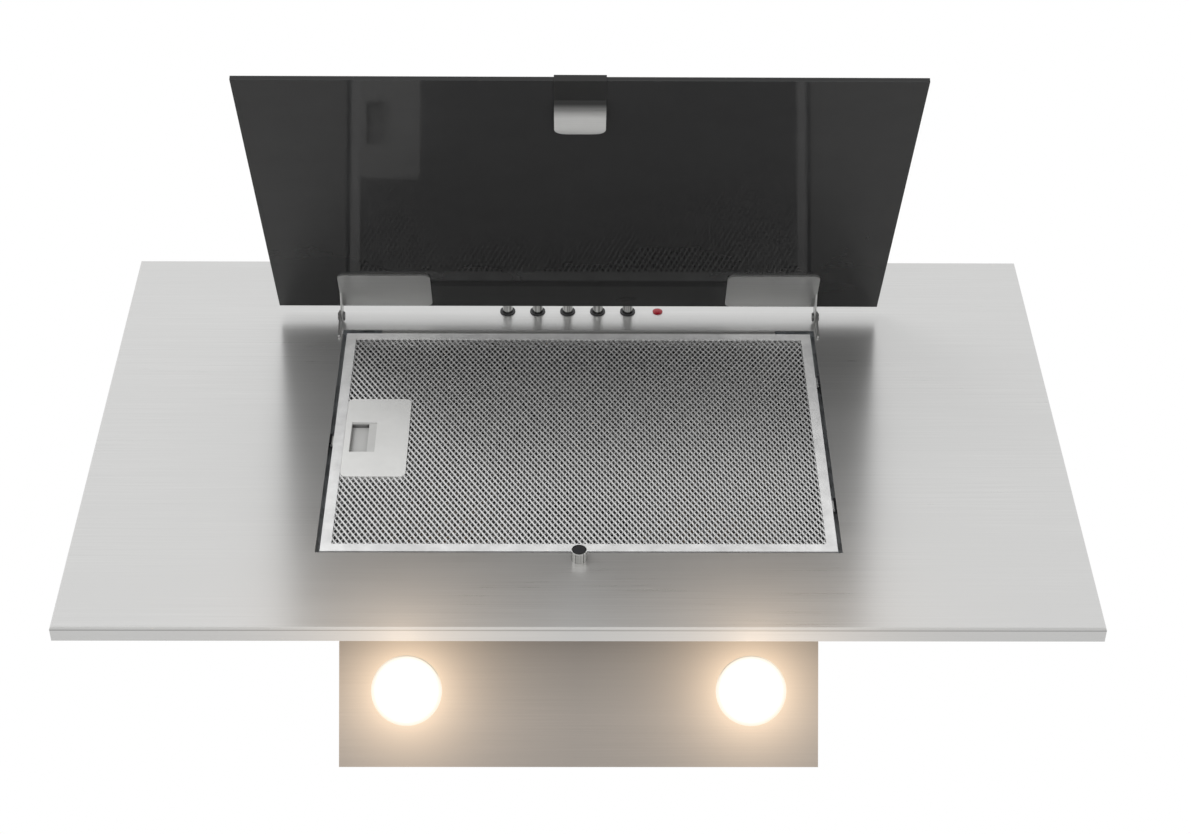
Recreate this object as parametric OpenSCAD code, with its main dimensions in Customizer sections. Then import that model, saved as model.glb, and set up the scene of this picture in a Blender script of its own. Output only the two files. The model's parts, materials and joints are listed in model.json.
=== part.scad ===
// Inclined wall mount range hood with a hinged glass panel over its grease filter
// Row frame: wall face at y = 0, room towards -y, z = 0 at the centre of the wall holes
// Plate frame (module on_plate): x across, v up the slope from the lower edge, w out of the front face

/* [Front plate] */
// Width of the stainless front plate
plate_w = 900; // [600:10:1000]
// Length of the front plate along its slope
plate_l = 537; // [510:1:600]
// Angle between the front plate and the horizontal
plate_tilt = 50.7; // [45:0.5:60]
// Depth of the folded lip round the front plate
lip_d = 15; // [8:1:25]
// Sheet thickness of the front plate
plate_t = 1; // [0.8:0.1:1.5]
// Outer radius of the front plate's folds
bend_r = 2; // [1.6:0.1:4]
// Distance of the plate's lower edge from the wall
edge_back = 127; // [110:1:160]
// Height of the plate's lower edge below the wall holes
edge_drop = 250; // [220:1:300]

/* [Filter opening] */
// Width of the filter opening
open_w = 466; // [380:1:520]
// Length of the filter opening along the slope
open_l = 325; // [280:1:340]
// Lower edge of the opening above the plate's lower edge
open_v = 95; // [60:1:110]
// Width of the folded tab at the top of the opening
tab_w = 390; // [200:5:420]

/* [Filter] */
// Gap between the filter and the opening on each long side
filter_gap = 4; // [3.7:0.1:4.5]
// Gap between the filter and the top of the opening
filter_gap_top = 5.5; // [4:0.5:8]
// Gap between the filter and the foot of the opening
filter_gap_foot = 2.5; // [1:0.5:4]
// Thickness of the filter cassette
filter_d = 9; // [8.8:0.1:12]
// Width of the filter's visible border
border_w = 9.5; // [7:0.5:14]
// Openings of the expanded metal across the filter
mesh_cols = 16; // [8:1:16]
// Openings of the expanded metal along the slope
mesh_rows = 9; // [5:1:9]
// Width of the strands of expanded metal
strand_w = 2.2; // [1.2:0.1:4]
// Thickness of the expanded metal
mesh_t = 1; // [0.6:0.1:1.5]

/* [Filter latch] */
// Width of the latch plate
latch_w = 60; // [54:1:70]
// Length of the latch plate
latch_l = 113; // [90:1:130]
// Centre of the latch plate above the plate's lower edge
latch_v = 255; // [200:1:300]
// Width of the finger cup
cup_w = 16; // [12:1:18]
// Length of the finger cup
cup_l = 42; // [30:1:60]
// Travel of the latch slide
latch_travel = 6; // [4:0.5:7]

/* [Glass panel] */
// Width of the glass panel
glass_w = 594; // [500:1:700]
// Length of the glass panel
glass_l = 382; // [370:1:385]
// Thickness of the glass
glass_t = 4; // [3:0.5:6]
// Angle by which the panel stands open
open_angle = 66.5; // [0:0.5:66.5]
// Height of the hinge pin above the front plate
pivot_w = 7; // [6.8:0.1:9]
// Hinge pin above the plate's lower edge
pivot_v = 433.2; // [432:0.1:436]
// Gap between the closed panel's inner face and the front plate
panel_gap = 17.2; // [17:0.1:22]
// Distance from the hinge pin down to the panel's hinge edge, closed
panel_set = 2.8; // [0:0.1:3]
// Width of a hinge bracket
bracket_w = 90; // [60:1:120]
// Length of a hinge bracket
bracket_l = 58; // [40:1:80]
// Thickness of a hinge bracket
bracket_t = 1.6; // [1:0.1:2]
// Thickness of a hinge arm
arm_t = 2; // [1.5:0.1:3]
// Radius of the hinge pin
pin_r = 3; // [2:0.1:3.5]
// Radial clearance of the bracket on the hinge pin
pin_clear = 0.05; // [0.02:0.01:0.09]
// Width of the handle strip
handle_w = 45; // [30:1:60]
// Length of the handle strip on the inner face
handle_l = 76; // [58:1:80]
// Thickness of the handle strip
handle_t = 1.2; // [0.8:0.1:2]

/* [Magnet post] */
// Diameter of the magnet post
post_d = 14; // [10:0.5:15]
// Height of the magnet post
post_h = 11; // [8:0.5:13]
// Diameter of the magnet
magnet_d = 11; // [8:0.5:12]
// Centre of the post above the plate's lower edge
post_v = 87; // [84:0.5:87]

/* [Controls] */
// Number of push buttons
button_n = 5; // [3:1:5]
// Distance between push buttons
button_pitch = 30; // [20:1:32]
// Place of the first button across the plate
button_x = -71; // [-90:1:-50]
// Height of the buttons above the plate's lower edge
button_v = 450.6; // [450:0.1:454]
// Diameter of a push button
button_d = 10; // [7:0.1:10]
// Height of a button above the plate
button_h = 15; // [8:0.5:16]
// Travel of a push button
button_travel = 2.5; // [1.5:0.1:4]
// Radial clearance of a button in its socket
button_clear = 0.4; // [0.3:0.05:0.6]
// Diameter of a button socket
socket_d = 15; // [13:0.5:18]
// Diameter of the pilot lens
pilot_d = 10; // [6:0.5:14]

/* [Body] */
// Width of the body behind the plate
body_w = 420; // [380:1:440]
// Sheet thickness of the body
sheet_t = 1; // [0.8:0.1:1.5]
// Height of the lamp face above the plate's lower edge
face_up = 61; // [50:1:75]
// Depth of the lamp face from the wall
face_depth = 141; // [130:1:143]
// Depth of the filter tray behind the plate
tray_d = 45; // [40:1:60]
// Lower end of the tray above the plate's lower edge
tray_v0 = 92; // [91:0.5:93]
// Length of the tray
tray_l = 334; // [332:1:336]
// Upper end of the switch housing above the plate's lower edge
housing_v1 = 492; // [475:1:500]
// Diameter of the wall holes
hole_d = 8; // [6:0.5:10]
// Distance of the wall holes across
hole_x = 320; // [200:10:340]
// Distance of the wall holes in height
hole_z = 240; // [160:10:260]

/* [Lamps] */
// Distance between the lamps
lamp_pitch = 302; // [200:1:320]
// Distance of the lamps from the wall
lamp_back = 67; // [50:1:80]
// Diameter of the lamp bezel
bezel_d = 62; // [50:1:70]
// Diameter of the lamp lens
lens_d = 53; // [40:1:56]

/* [Outlet] */
// Outer diameter of the outlet collar
collar_d = 149; // [119:1:149]
// Wall of the outlet collar
collar_t = 1.5; // [1:0.1:2.5]
// Height of the outlet collar
collar_h = 45; // [40:1:60]
// Distance of the collar's centre from the wall
collar_back = 84; // [82:1:110]
// Radius of the check flap pin
flap_pin_r = 2; // [1.5:0.1:3]

/* [Blower] */
// Diameter of the impeller
impeller_d = 150; // [120:1:152]
// Width of the impeller
impeller_w = 96; // [60:1:104]
// Number of impeller blades
blade_n = 36; // [12:1:48]
// Inner width of the scroll
scroll_w = 110; // [108:1:140]
// Height of the impeller's shaft above the wall holes' centre
shaft_z = 0; // [-10:1:5]
// Distance of the impeller's shaft from the wall
shaft_back = 132; // [128:1:136]
// Diameter of the blower motor
motor_d = 96; // [60:1:100]
// Radius of the motor shaft
shaft_r = 4; // [3:0.5:6]

/* [Hidden] */
$fn = 64;

// Clearances and small values that more than one piece uses
fit_gap = 0.3;
slide_gap = 0.2;
eps = 0.5;

// Plate frame in the y-z plane of the row frame
slope_up = [-cos(plate_tilt), sin(plate_tilt)];
slope_out = [-sin(plate_tilt), -cos(plate_tilt)];
plate_foot = [-edge_back, -edge_drop];
function plate_pt(v, w) = plate_foot + v * slope_up + w * slope_out;

// Filter seat
filter_w = open_w - 2 * filter_gap;
filter_v0 = open_v + filter_gap_foot;
filter_v1 = open_v + open_l - filter_gap_top;
filter_l = filter_v1 - filter_v0;
filter_face = -0.5;
filter_back = filter_face - filter_d;
wall_t = 1.2;
tray_v1 = tray_v0 + tray_l;
arm_edge = open_w / 2 + 2.3;
tray_in = arm_edge + arm_t;
tray_out = tray_in + wall_t;
seat_w = 11;
seat_top = filter_back - fit_gap;
arm_v1 = tray_v1 - wall_t - 0.5;
arm_v0 = arm_v1 - 17.3;
arm_deep = 30;
tab_d = 4;
tab_gap = 0.6;
back_ring = 12;

// Latch
latch_x0 = -filter_w / 2 + border_w + 0.1;
latch_x1 = latch_x0 + latch_w;
latch_top = filter_face - 0.3;
latch_skin = 1.8;
latch_floor = 1;
cup_x0 = latch_x0 + 6;
window_w = cup_w + latch_travel + 1.5;
slide_x0 = latch_x0 + 1.2;
slide_len = cup_x0 - slide_x0 + window_w + latch_travel + 3;
slide_x1 = slide_x0 + slide_len;
slide_half = cup_l / 2 + 2;
slide_w0 = filter_back + latch_floor + slide_gap;
slide_w1 = latch_top - latch_skin - slide_gap;
bolt_l = 12;
bolt_out = 3.2;
bolt_w0 = slide_w0 + 0.6;
bolt_h = 2.4;

// Glass panel, in its own frame: origin at the hinge pin, d from the hinge edge, e off the inner face
ear_gap = 0.3;
ear_x1 = arm_edge - ear_gap;
ear_r = pivot_w - 1;
inner_e = panel_gap - pivot_w;
strike_e = panel_gap - post_h - 0.15;
strike_u = 27;
strike_rise = 7;
tail_l = 16;
tail_drop = 3.2;
handle_r = 12;

// Controls
function button_at(i) = button_x + i * button_pitch;
pilot_x = button_at(button_n);
button_deep = 12;
block_w0 = 26;
block_half = 9.8;
block_end = 14;

// Body, in the row frame
face_y0 = -face_depth;
face_z = -edge_drop + face_up;
body_top = plate_pt(housing_v1, -tray_d)[1];
tray_foot = plate_pt(tray_v0, -tray_d);
housing_top = plate_pt(housing_v1, -tray_d);
back_t = 1.5;

// Blower
shaft_y = -shaft_back;
scroll_r0 = impeller_d / 2 + 8;
scroll_grow = 25;
cutoff = 95;
inlet_r = impeller_d / 2 - 14;
function spiral_r(a) = scroll_r0 + scroll_grow * (a - cutoff) / (360 - cutoff);
function spiral_pt(a, more) = [shaft_y, shaft_z] + (spiral_r(a) + more) * [cos(a), sin(a)];

// Outlet collar
collar_y = -collar_back;
collar_r = collar_d / 2;
collar_bore = collar_r - collar_t;
flange_w = collar_d + 10;
flap_z = body_top + 24;
flap_r = collar_bore - 1.2;
flap_t = 1.2;
knuckle_r = flap_pin_r + 1.6;

// Small parts
arm_screw_r = 2;
arm_screw_w = [-14, -24];
loom_x = 120;
loom_r = 9;
gland_x = 150;
gland_y = -84;
gland_r = 8;
cable_r = 4;
lens_r = lens_d / 2;
bezel_t = 1.6;
lamp_neck_r = lens_r + 2.6;
lamp_holder_r = 8.8;
lamp_h = 26;
collar_flange_t = 1.5;
collar_screw_r = 1.7;
collar_screw_at = flange_w / 2 - 8;
ledge_t = 2;
ledge_z0 = flap_z - flap_t / 2 - 0.3 - ledge_t;
left_knuckles = [[-55, -30], [5, 30]];
right_knuckles = [[-25, 0], [35, 60]];
duct_y0 = spiral_pt(cutoff, 0)[0];
duct_y1 = spiral_pt(360, 0)[0];
duct_top = body_top - sheet_t;
blade_mid = impeller_d / 2 - 7.5;
hub_l = 12;
motor_x0 = hub_l / 2 + 3;
motor_x1 = scroll_w / 2 + wall_t;
socket_up = 1.2;
magnet_deep = 5;
pin_head_r = 5;
bracket_d0 = 3;
ear_l = 30;
frame_t = 0.8;
butt_gap = 0.1;
spring_r = 2;
spring_wire = 0.3;
spring_turns = 8;
spring_end = latch_x1 - 2;
catch_pitch = 180;
catch_v = [latch_v - catch_pitch / 2, latch_v + catch_pitch / 2];
holder_l = 14;
holder_seat = 4;
capsule_r = 4.5;
capsule_l = 14;
transformer_l = 68;
transformer_w = 38;
transformer_h = 30;
transformer_foot = 92;
transformer_set = 18;
capacitor_at = [130, -20];
capacitor_r = 16;
capacitor_l = 55;
terminal_l = 64;
terminal_w = 48;
terminal_h = 28;
terminal_t = 2;

// Finishes
steel = [0.78, 0.78, 0.77];
zinc = [0.66, 0.67, 0.68];
black = [0.08, 0.08, 0.09];
plastic_grey = [0.72, 0.72, 0.71];
alu = [0.80, 0.81, 0.82];

// Places children given in plate coordinates
module on_plate() {
  translate([0, plate_foot[0], plate_foot[1]]) rotate([180 - plate_tilt, 0, 0]) children();
}

// Extrudes a profile given in (y, z), or in (v, w), along x about the middle
module along_x(len) {
  rotate([90, 0, 90]) linear_extrude(len, center = true) children();
}

// A block from its lowest to its highest corner
module block(a, b) {
  translate(a) cube(b - a);
}

// A flat outline with round corners, lowest corner at the origin
module round_rect(w, l, r) {
  translate([r, 0]) square([w - 2 * r, l]);
  translate([0, r]) square([w, l - 2 * r]);
  for (x = [r, w - r], y = [r, l - r]) translate([x, y]) circle(r);
}

// Closed glass panel coordinates: x across, d from the hinge edge, e off the inner face
module on_panel() {
  on_plate() translate([0, pivot_v, pivot_w]) rotate([-open_angle, 0, 0])
    translate([0, -panel_set, inner_e]) rotate([180, 0, 0]) children();
}

// Outline from a to b and from -deep up to zero, its two upper corners rounded
module rounded_top(a, b, deep, r) {
  translate([a + r, -deep]) square([b - a - 2 * r, deep]);
  translate([a, -deep]) square([b - a, deep - r]);
  for (c = [a + r, b - r]) translate([c, -r]) circle(r);
}

// Block of the plate's outline less an inset, rounded to r along its four upper edges
module plate_block(inset, deep, r) {
  intersection() {
    along_x(plate_w - 2 * inset) rounded_top(inset, plate_l - inset, deep, r);
    translate([0, plate_l / 2, 0]) rotate([90, 0, 0]) linear_extrude(plate_l - 2 * inset, center = true)
      rounded_top(-plate_w / 2 + inset, plate_w / 2 - inset, deep, r);
  }
}

// Front plate with its folded lip, filter opening and holes
module front_plate() {
  color(steel) on_plate() {
    difference() {
      plate_block(0, lip_d, bend_r);
      translate([0, 0, -plate_t]) plate_block(plate_t, lip_d, bend_r - plate_t);
      block([-open_w / 2, open_v, -plate_t - eps], [open_w / 2, open_v + open_l, eps]);
      for (i = [0:button_n - 1]) translate([button_at(i), button_v, -plate_t - eps])
        cylinder(h = plate_t + 2 * eps, d = socket_d + 0.4);
      translate([pilot_x, button_v, -plate_t - eps]) cylinder(h = plate_t + 2 * eps, d = pilot_d - 1.4);
      translate([0, post_v, -plate_t - eps]) cylinder(h = plate_t + 2 * eps, r = 2.1);
      for (s = [-1, 1]) scale([s, 1, 1])
        block([arm_edge - 0.2, arm_v0 - 0.3, -plate_t - eps], [tray_in + 0.2, arm_v1 + 0.3, eps]);
    }
    block([-tab_w / 2, open_v + open_l, -tab_d], [tab_w / 2, open_v + open_l + plate_t, -plate_t + 0.01]);
    block([-tab_w / 2, filter_v1 + tab_gap, -tab_d],
      [tab_w / 2, open_v + open_l + 0.01, -tab_d + plate_t]);
  }
}

// Tray behind the opening that the filter seats in
module filter_tray() {
  color(zinc) on_plate() difference() {
    union() {
      difference() {
        block([-tray_out, tray_v0, -tray_d], [tray_out, tray_v1, -plate_t]);
        block([-tray_in, tray_v0 + wall_t, -tray_d - eps], [tray_in, tray_v1 - wall_t, eps]);
      }
      difference() {
        block([-tray_out, tray_v0, seat_top - wall_t], [tray_out, tray_v1, seat_top]);
        block([-filter_w / 2 + seat_w, filter_v0 + seat_w, -tray_d],
          [filter_w / 2 - seat_w, filter_v1 - seat_w, 0]);
      }
      difference() {
        block([-tray_out, tray_v0, -tray_d], [tray_out, tray_v1, -tray_d + wall_t]);
        block([-body_w / 2 + back_ring, tray_v0 + back_ring, -tray_d - eps],
          [body_w / 2 - back_ring, tray_v1 - back_ring, -tray_d + wall_t + eps]);
      }
    }
    for (s = [-1, 1]) scale([s, 1, 1])
      block([arm_edge - fit_gap, arm_v0 - fit_gap, -arm_deep - fit_gap], [tray_in, arm_v1 + fit_gap, 0]);
    arm_holes(tray_in - eps, tray_out + eps);
  }
}

// Screw holes of both hinge arms, from x0 to x1 on each side
module arm_holes(x0, x1) {
  for (s = [-1, 1], w = arm_screw_w) translate([s * x0, (arm_v0 + arm_v1) / 2, w])
    rotate([0, s * 90, 0]) cylinder(h = x1 - x0, r = arm_screw_r);
}

// Closed box behind the buttons
module switch_housing() {
  color(zinc) on_plate() difference() {
    block([-tray_out, tray_v1, -tray_d], [tray_out, housing_v1, -plate_t]);
    block([-tray_out + wall_t, tray_v1 + wall_t, -tray_d + wall_t],
      [tray_out - wall_t, housing_v1 - wall_t, eps]);
    translate([loom_x, (tray_v1 + housing_v1) / 2, -tray_d - eps]) cylinder(h = 3, r = loom_r);
  }
}

// Side sheet of the body, s = 1 on the right, with its flange behind the tray
module side_sheet(s) {
  color(steel) scale([s, 1, 1]) {
    translate([(body_w - sheet_t) / 2, 0, 0]) along_x(sheet_t)
      polygon([tray_foot, housing_top, [-back_t, body_top], [-back_t, face_z + sheet_t],
        [face_y0, face_z + sheet_t]]);
    on_plate() block([body_w / 2 - back_ring, tray_v0 + back_ring, -tray_d - sheet_t],
      [body_w / 2 - sheet_t + 0.01, housing_v1 - back_ring, -tray_d]);
  }
}

// Top sheet between the sides, folded down along both, with the duct's opening
module top_sheet() {
  half = body_w / 2 - sheet_t;
  low = body_top - sheet_t;
  color(steel) difference() {
    union() {
      along_x(2 * half) polygon([housing_top, [-back_t, body_top], [-back_t, low],
        housing_top - slope_up * sheet_t / sin(plate_tilt)]);
      for (s = [-1, 1]) scale([s, 1, 1])
        block([half - sheet_t, housing_top[0] + 3 * back_ring, body_top - back_ring],
          [half, -back_t - back_ring, body_top]);
    }
    intersection() {
      translate([0, collar_y, low - eps]) cylinder(h = sheet_t + 2 * eps, r = collar_bore - 2);
      block([-scroll_w / 2, duct_y0, low - eps], [scroll_w / 2, duct_y1, body_top + eps]);
    }
    translate([gland_x, gland_y, low - eps]) cylinder(h = sheet_t + 2 * eps, r = gland_r + fit_gap);
    collar_screw_places() translate([0, 0, -sheet_t - eps])
      cylinder(h = sheet_t + 2 * eps, r = collar_screw_r);
  }
}

// Short front wall between the underside and the tray, with a flange behind the tray
module foot_sheet() {
  half = body_w / 2 - sheet_t;
  color(steel) {
    along_x(2 * half) polygon([[face_y0, face_z + sheet_t], tray_foot, [tray_foot[0] + sheet_t, tray_foot[1]],
      [face_y0 + sheet_t, face_z + sheet_t]]);
    on_plate() block([-half + back_ring, tray_v0 - sheet_t, -tray_d - sheet_t],
      [half - back_ring, tray_v0 + back_ring - 1, -tray_d]);
  }
}

// Wall side of the body with its four mounting holes
module back_plate() {
  color(zinc) {
    difference() {
      block([-body_w / 2, -back_t, face_z + sheet_t], [body_w / 2, 0, body_top]);
      for (x = [-1, 1], z = [-1, 1]) translate([x * hole_x / 2, eps, z * hole_z / 2])
        rotate([90, 0, 0]) cylinder(h = back_t + 2 * eps, d = hole_d);
    }
    for (s = [-1, 1]) scale([s, 1, 1])
      block([body_w / 2 - 2 * sheet_t, -back_t - back_ring, face_z + 2 * back_ring],
        [body_w / 2 - sheet_t, -back_t + 0.01, body_top - 2 * back_ring]);
  }
}

// Level underside that carries the lamps
module lamp_panel() {
  color(steel) difference() {
    union() {
      block([-body_w / 2, face_y0, face_z], [body_w / 2, 0, face_z + sheet_t]);
      block([-body_w / 2 + 3 * sheet_t, -back_t - sheet_t, face_z],
        [body_w / 2 - 3 * sheet_t, -back_t, face_z + back_ring]);
      block([-body_w / 2 + 3 * sheet_t, face_y0 + sheet_t, face_z],
        [body_w / 2 - 3 * sheet_t, face_y0 + 2 * sheet_t, face_z + back_ring / 2]);
    }
    for (s = [-1, 1]) at_lamp(s) translate([0, 0, -eps])
      cylinder(h = sheet_t + 2 * eps, r = lamp_neck_r + 0.2);
  }
}

// Places children at a lamp, s = 1 at the right one, z = 0 on the lamp panel's underside
module at_lamp(s) {
  translate([s * lamp_pitch / 2, -lamp_back, face_z]) children();
}

// Ring that holds the lens from below
module lamp_bezel(s) {
  color(steel) at_lamp(s) rotate_extrude() polygon([[lens_r + fit_gap, sheet_t],
    [lens_r + fit_gap, -bezel_t + 0.4], [lens_r + 1, -bezel_t], [bezel_d / 2 - 1, -bezel_t],
    [bezel_d / 2, -0.6], [bezel_d / 2, 0],
    [lamp_neck_r, 0], [lamp_neck_r, sheet_t]]);
}

// Domed glass of the lamp
module lamp_lens(s) {
  color([0.95, 0.93, 0.85]) at_lamp(s) rotate_extrude() polygon([[0, -bezel_t - 0.5],
    [lens_r * 0.6, -bezel_t - 0.2], [lens_r, -bezel_t + 0.6], [lens_r, sheet_t - 0.2], [0, sheet_t - 0.2]]);
}

// Bowl behind the lens, its flange on the inside of the lamp panel
module lamp_reflector(s) {
  color(alu) at_lamp(s) rotate_extrude() polygon([[lens_r - 2, sheet_t], [bezel_d / 2, sheet_t],
    [bezel_d / 2, sheet_t + 1], [lens_r - 1, sheet_t + 1], [lens_r - 6, sheet_t + 13],
    [lamp_holder_r + 1, lamp_h], [lamp_holder_r, lamp_h],
    [lamp_holder_r, lamp_h - 2], [lens_r - 7, sheet_t + 12]]);
}

// Halogen capsule in its holder
module lamp_bulb(s) {
  color([0.9, 0.88, 0.8]) at_lamp(s) {
    translate([0, 0, lamp_h - holder_seat]) cylinder(h = holder_l, r = lamp_holder_r);
    translate([0, 0, lamp_h - capsule_l]) cylinder(h = capsule_l - holder_seat + 1, r = capsule_r);
    translate([0, 0, lamp_h - capsule_l]) sphere(capsule_r);
  }
}

// Supply of the lamps, on the inside of the lamp panel
module lamp_transformer() {
  color(black) translate([0, -lamp_back - transformer_set, face_z + sheet_t]) {
    block([-transformer_l / 2, -transformer_w / 2, 0], [transformer_l / 2, transformer_w / 2, transformer_h]);
    block([-transformer_foot / 2, -transformer_w / 2, 0], [transformer_foot / 2, transformer_w / 2, 2]);
  }
}

// Four screw places of the collar flange, on the body's top
module collar_screw_places() {
  for (x = [-1, 1], y = [-1, 1])
    translate([x * collar_screw_at, collar_y + y * collar_screw_at, body_top]) children();
}

// Round air outlet with its square flange and inner stop ledge
module outlet_collar() {
  color(black) translate([0, collar_y, 0]) {
    difference() {
      union() {
        translate([-flange_w / 2, -flange_w / 2, body_top]) linear_extrude(collar_flange_t)
          round_rect(flange_w, flange_w, 8);
        translate([0, 0, body_top]) cylinder(h = collar_h, r = collar_r, $fn = 96);
      }
      translate([0, 0, body_top - eps]) cylinder(h = collar_h + 2 * eps, r = collar_bore, $fn = 96);
      translate([0, collar_d, flap_z]) rotate([90, 0, 0]) cylinder(h = 2 * collar_d, r = flap_pin_r);
      translate([0, -collar_y, 0]) collar_screw_places() translate([0, 0, -eps])
        cylinder(h = collar_flange_t + 2 * eps, r = collar_screw_r);
    }
    translate([0, 0, ledge_z0]) difference() {
      cylinder(h = ledge_t, r = collar_bore + collar_t / 2, $fn = 96);
      translate([0, 0, -eps]) cylinder(h = ledge_t + 2 * eps, r = flap_r - 3, $fn = 96);
      block([-knuckle_r - 1, -collar_r, -eps], [knuckle_r + 1, collar_r, ledge_t + eps]);
    }
  }
}

// Screws that hold the collar's flange to the top
module collar_screws() {
  color(zinc) collar_screw_places() {
    translate([0, 0, -6]) cylinder(h = 6 + collar_flange_t, r = collar_screw_r);
    translate([0, 0, collar_flange_t]) difference() {
      cylinder(h = 2.2, r1 = 3.8, r2 = 3);
      for (a = [0, 90]) rotate(a) translate([-2, -0.5, 1.2]) cube([4, 1, 2]);
    }
  }
}

// Pin that both check flaps turn on
module flap_pin() {
  color(zinc) translate([0, collar_y + collar_r - 0.1, flap_z]) rotate([90, 0, 0])
    cylinder(h = collar_d - 0.2, r = flap_pin_r);
}

// Half-round flap, s = 1 on the right; knuckles lists where its knuckles lie along the pin
module check_flap(s, knuckles) {
  color(black) translate([0, collar_y, flap_z]) scale([s, 1, 1]) difference() {
    union() {
      intersection() {
        translate([0, 0, -flap_t / 2]) cylinder(h = flap_t, r = flap_r, $fn = 96);
        block([knuckle_r + 0.4, -flap_r, -flap_t], [flap_r, flap_r, flap_t]);
      }
      for (k = knuckles) {
        translate([0, k[1], 0]) rotate([90, 0, 0]) cylinder(h = k[1] - k[0], r = knuckle_r);
        block([flap_pin_r + 0.4, k[0], -flap_t / 2], [knuckle_r + 0.5, k[1], flap_t / 2]);
      }
    }
    translate([0, flap_r, 0]) rotate([90, 0, 0]) cylinder(h = 2 * flap_r, r = flap_pin_r + 0.06);
  }
}

// Outline of the scroll's air space, grown by more
module scroll_outline(more) {
  polygon(concat([for (a = [cutoff:5:360]) spiral_pt(a, more)],
    [[duct_y1 + more, duct_top], [duct_y0 - more, duct_top]]));
}

// Spiral housing of the blower with an inlet on each side
module blower_scroll() {
  color(zinc) {
    difference() {
      along_x(scroll_w + 2 * wall_t) scroll_outline(wall_t);
      along_x(scroll_w) scroll_outline(0);
      along_x(scroll_w + 4 * wall_t) translate([shaft_y, shaft_z]) circle(inlet_r, $fn = 96);
      block([-scroll_w / 2, duct_y0, duct_top - 2], [scroll_w / 2, duct_y1, duct_top + eps]);
    }
    for (s = [-1, 1]) scale([s, 1, 1])
      translate([scroll_w / 2 - 3, shaft_y, shaft_z]) rotate([0, 90, 0]) difference() {
      cylinder(h = 3 + wall_t, r = inlet_r + wall_t, $fn = 96);
      translate([0, 0, -eps]) cylinder(h = 4 + wall_t, r = inlet_r, $fn = 96);
    }
    difference() {
      block([-scroll_w / 2 - wall_t - 8, duct_y0 - wall_t - 8, duct_top - wall_t],
        [scroll_w / 2 + wall_t + 8, duct_y1 + wall_t + 8, duct_top]);
      block([-scroll_w / 2, duct_y0, duct_top - 3], [scroll_w / 2, duct_y1, duct_top + eps]);
    }
  }
}

// One forward-curved blade, seen along the shaft
module blade() {
  intersection() {
    translate([blade_mid, -5]) difference() {
      circle(9);
      circle(8.2);
    }
    translate([blade_mid - 6, -2]) square([12.5, 12]);
  }
}

// Double-inlet impeller: middle disc, hub, blades and end rings
module impeller() {
  color(black) translate([0, shaft_y, shaft_z]) {
    along_x(impeller_w) for (i = [0:blade_n - 1]) rotate(i * 360 / blade_n) blade();
    along_x(2) difference() {
      circle(impeller_d / 2, $fn = 96);
      circle(shaft_r);
    }
    for (s = [-1, 1]) translate([s * (impeller_w / 2 - 1), 0, 0]) along_x(2) difference() {
      circle(impeller_d / 2, $fn = 96);
      circle(blade_mid - 1, $fn = 96);
    }
    translate([-hub_l / 2, 0, 0]) rotate([0, 90, 0]) difference() {
      cylinder(h = hub_l, r = 12);
      translate([0, 0, -eps]) cylinder(h = hub_l + 2 * eps, r = shaft_r);
    }
  }
}

// Steel shaft of impeller and motor
module motor_shaft() {
  color(steel) translate([-hub_l / 2 - 4, shaft_y, shaft_z]) rotate([0, 90, 0])
    cylinder(h = hub_l / 2 + 4 + motor_x1 + 5, r = shaft_r);
}

// Motor with its end bells, inside the impeller
module blower_motor() {
  color([0.35, 0.36, 0.38]) translate([0, shaft_y, shaft_z]) rotate([0, 90, 0]) rotate_extrude()
    polygon([[shaft_r + 0.05, motor_x0], [motor_d / 2 - 10, motor_x0], [motor_d / 2 - 3, motor_x0 + 6],
      [motor_d / 2 - 3, motor_x0 + 12], [motor_d / 2, motor_x0 + 12], [motor_d / 2, motor_x1 - 12],
      [motor_d / 2 - 3, motor_x1 - 12], [motor_d / 2 - 3, motor_x1], [11, motor_x1], [11, motor_x1 + 4],
      [shaft_r + 0.05, motor_x1 + 4]]);
}

// Three-armed bracket from the motor's end to the scroll's side
module motor_bracket() {
  color(zinc) translate([motor_x1, shaft_y, shaft_z]) rotate([90, 0, 90]) linear_extrude(2) {
    difference() {
      union() {
        difference() {
          circle(inlet_r + 13, $fn = 96);
          circle(inlet_r + 3, $fn = 96);
        }
        circle(26);
        for (a = [30, 150, 270]) rotate(a) translate([0, -9]) square([inlet_r + 6, 18]);
      }
      circle(11 + fit_gap);
      for (a = [30, 150, 270]) rotate(a) translate([inlet_r + 8, 0]) circle(2.2);
    }
  }
}

// Run capacitor on the back plate
module motor_capacitor() {
  color([0.85, 0.85, 0.83]) translate([capacitor_at[0], -back_t, capacitor_at[1]]) {
    translate([0, -capacitor_r - 4, 0]) cylinder(h = capacitor_l, r = capacitor_r);
    block([-10, -6, 8], [10, 0, capacitor_l - 8]);
  }
}

// Terminal box under the top, below the cable gland
module terminal_box() {
  inner_l = terminal_l - 2 * terminal_t;
  inner_w = terminal_w - 2 * terminal_t;
  color(black) translate([gland_x, gland_y, body_top - sheet_t]) difference() {
    block([-terminal_l / 2, -terminal_w / 2, -terminal_h], [terminal_l / 2, terminal_w / 2, 0]);
    block([-inner_l / 2, -inner_w / 2, terminal_t - terminal_h], [inner_l / 2, inner_w / 2, eps]);
  }
}

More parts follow.
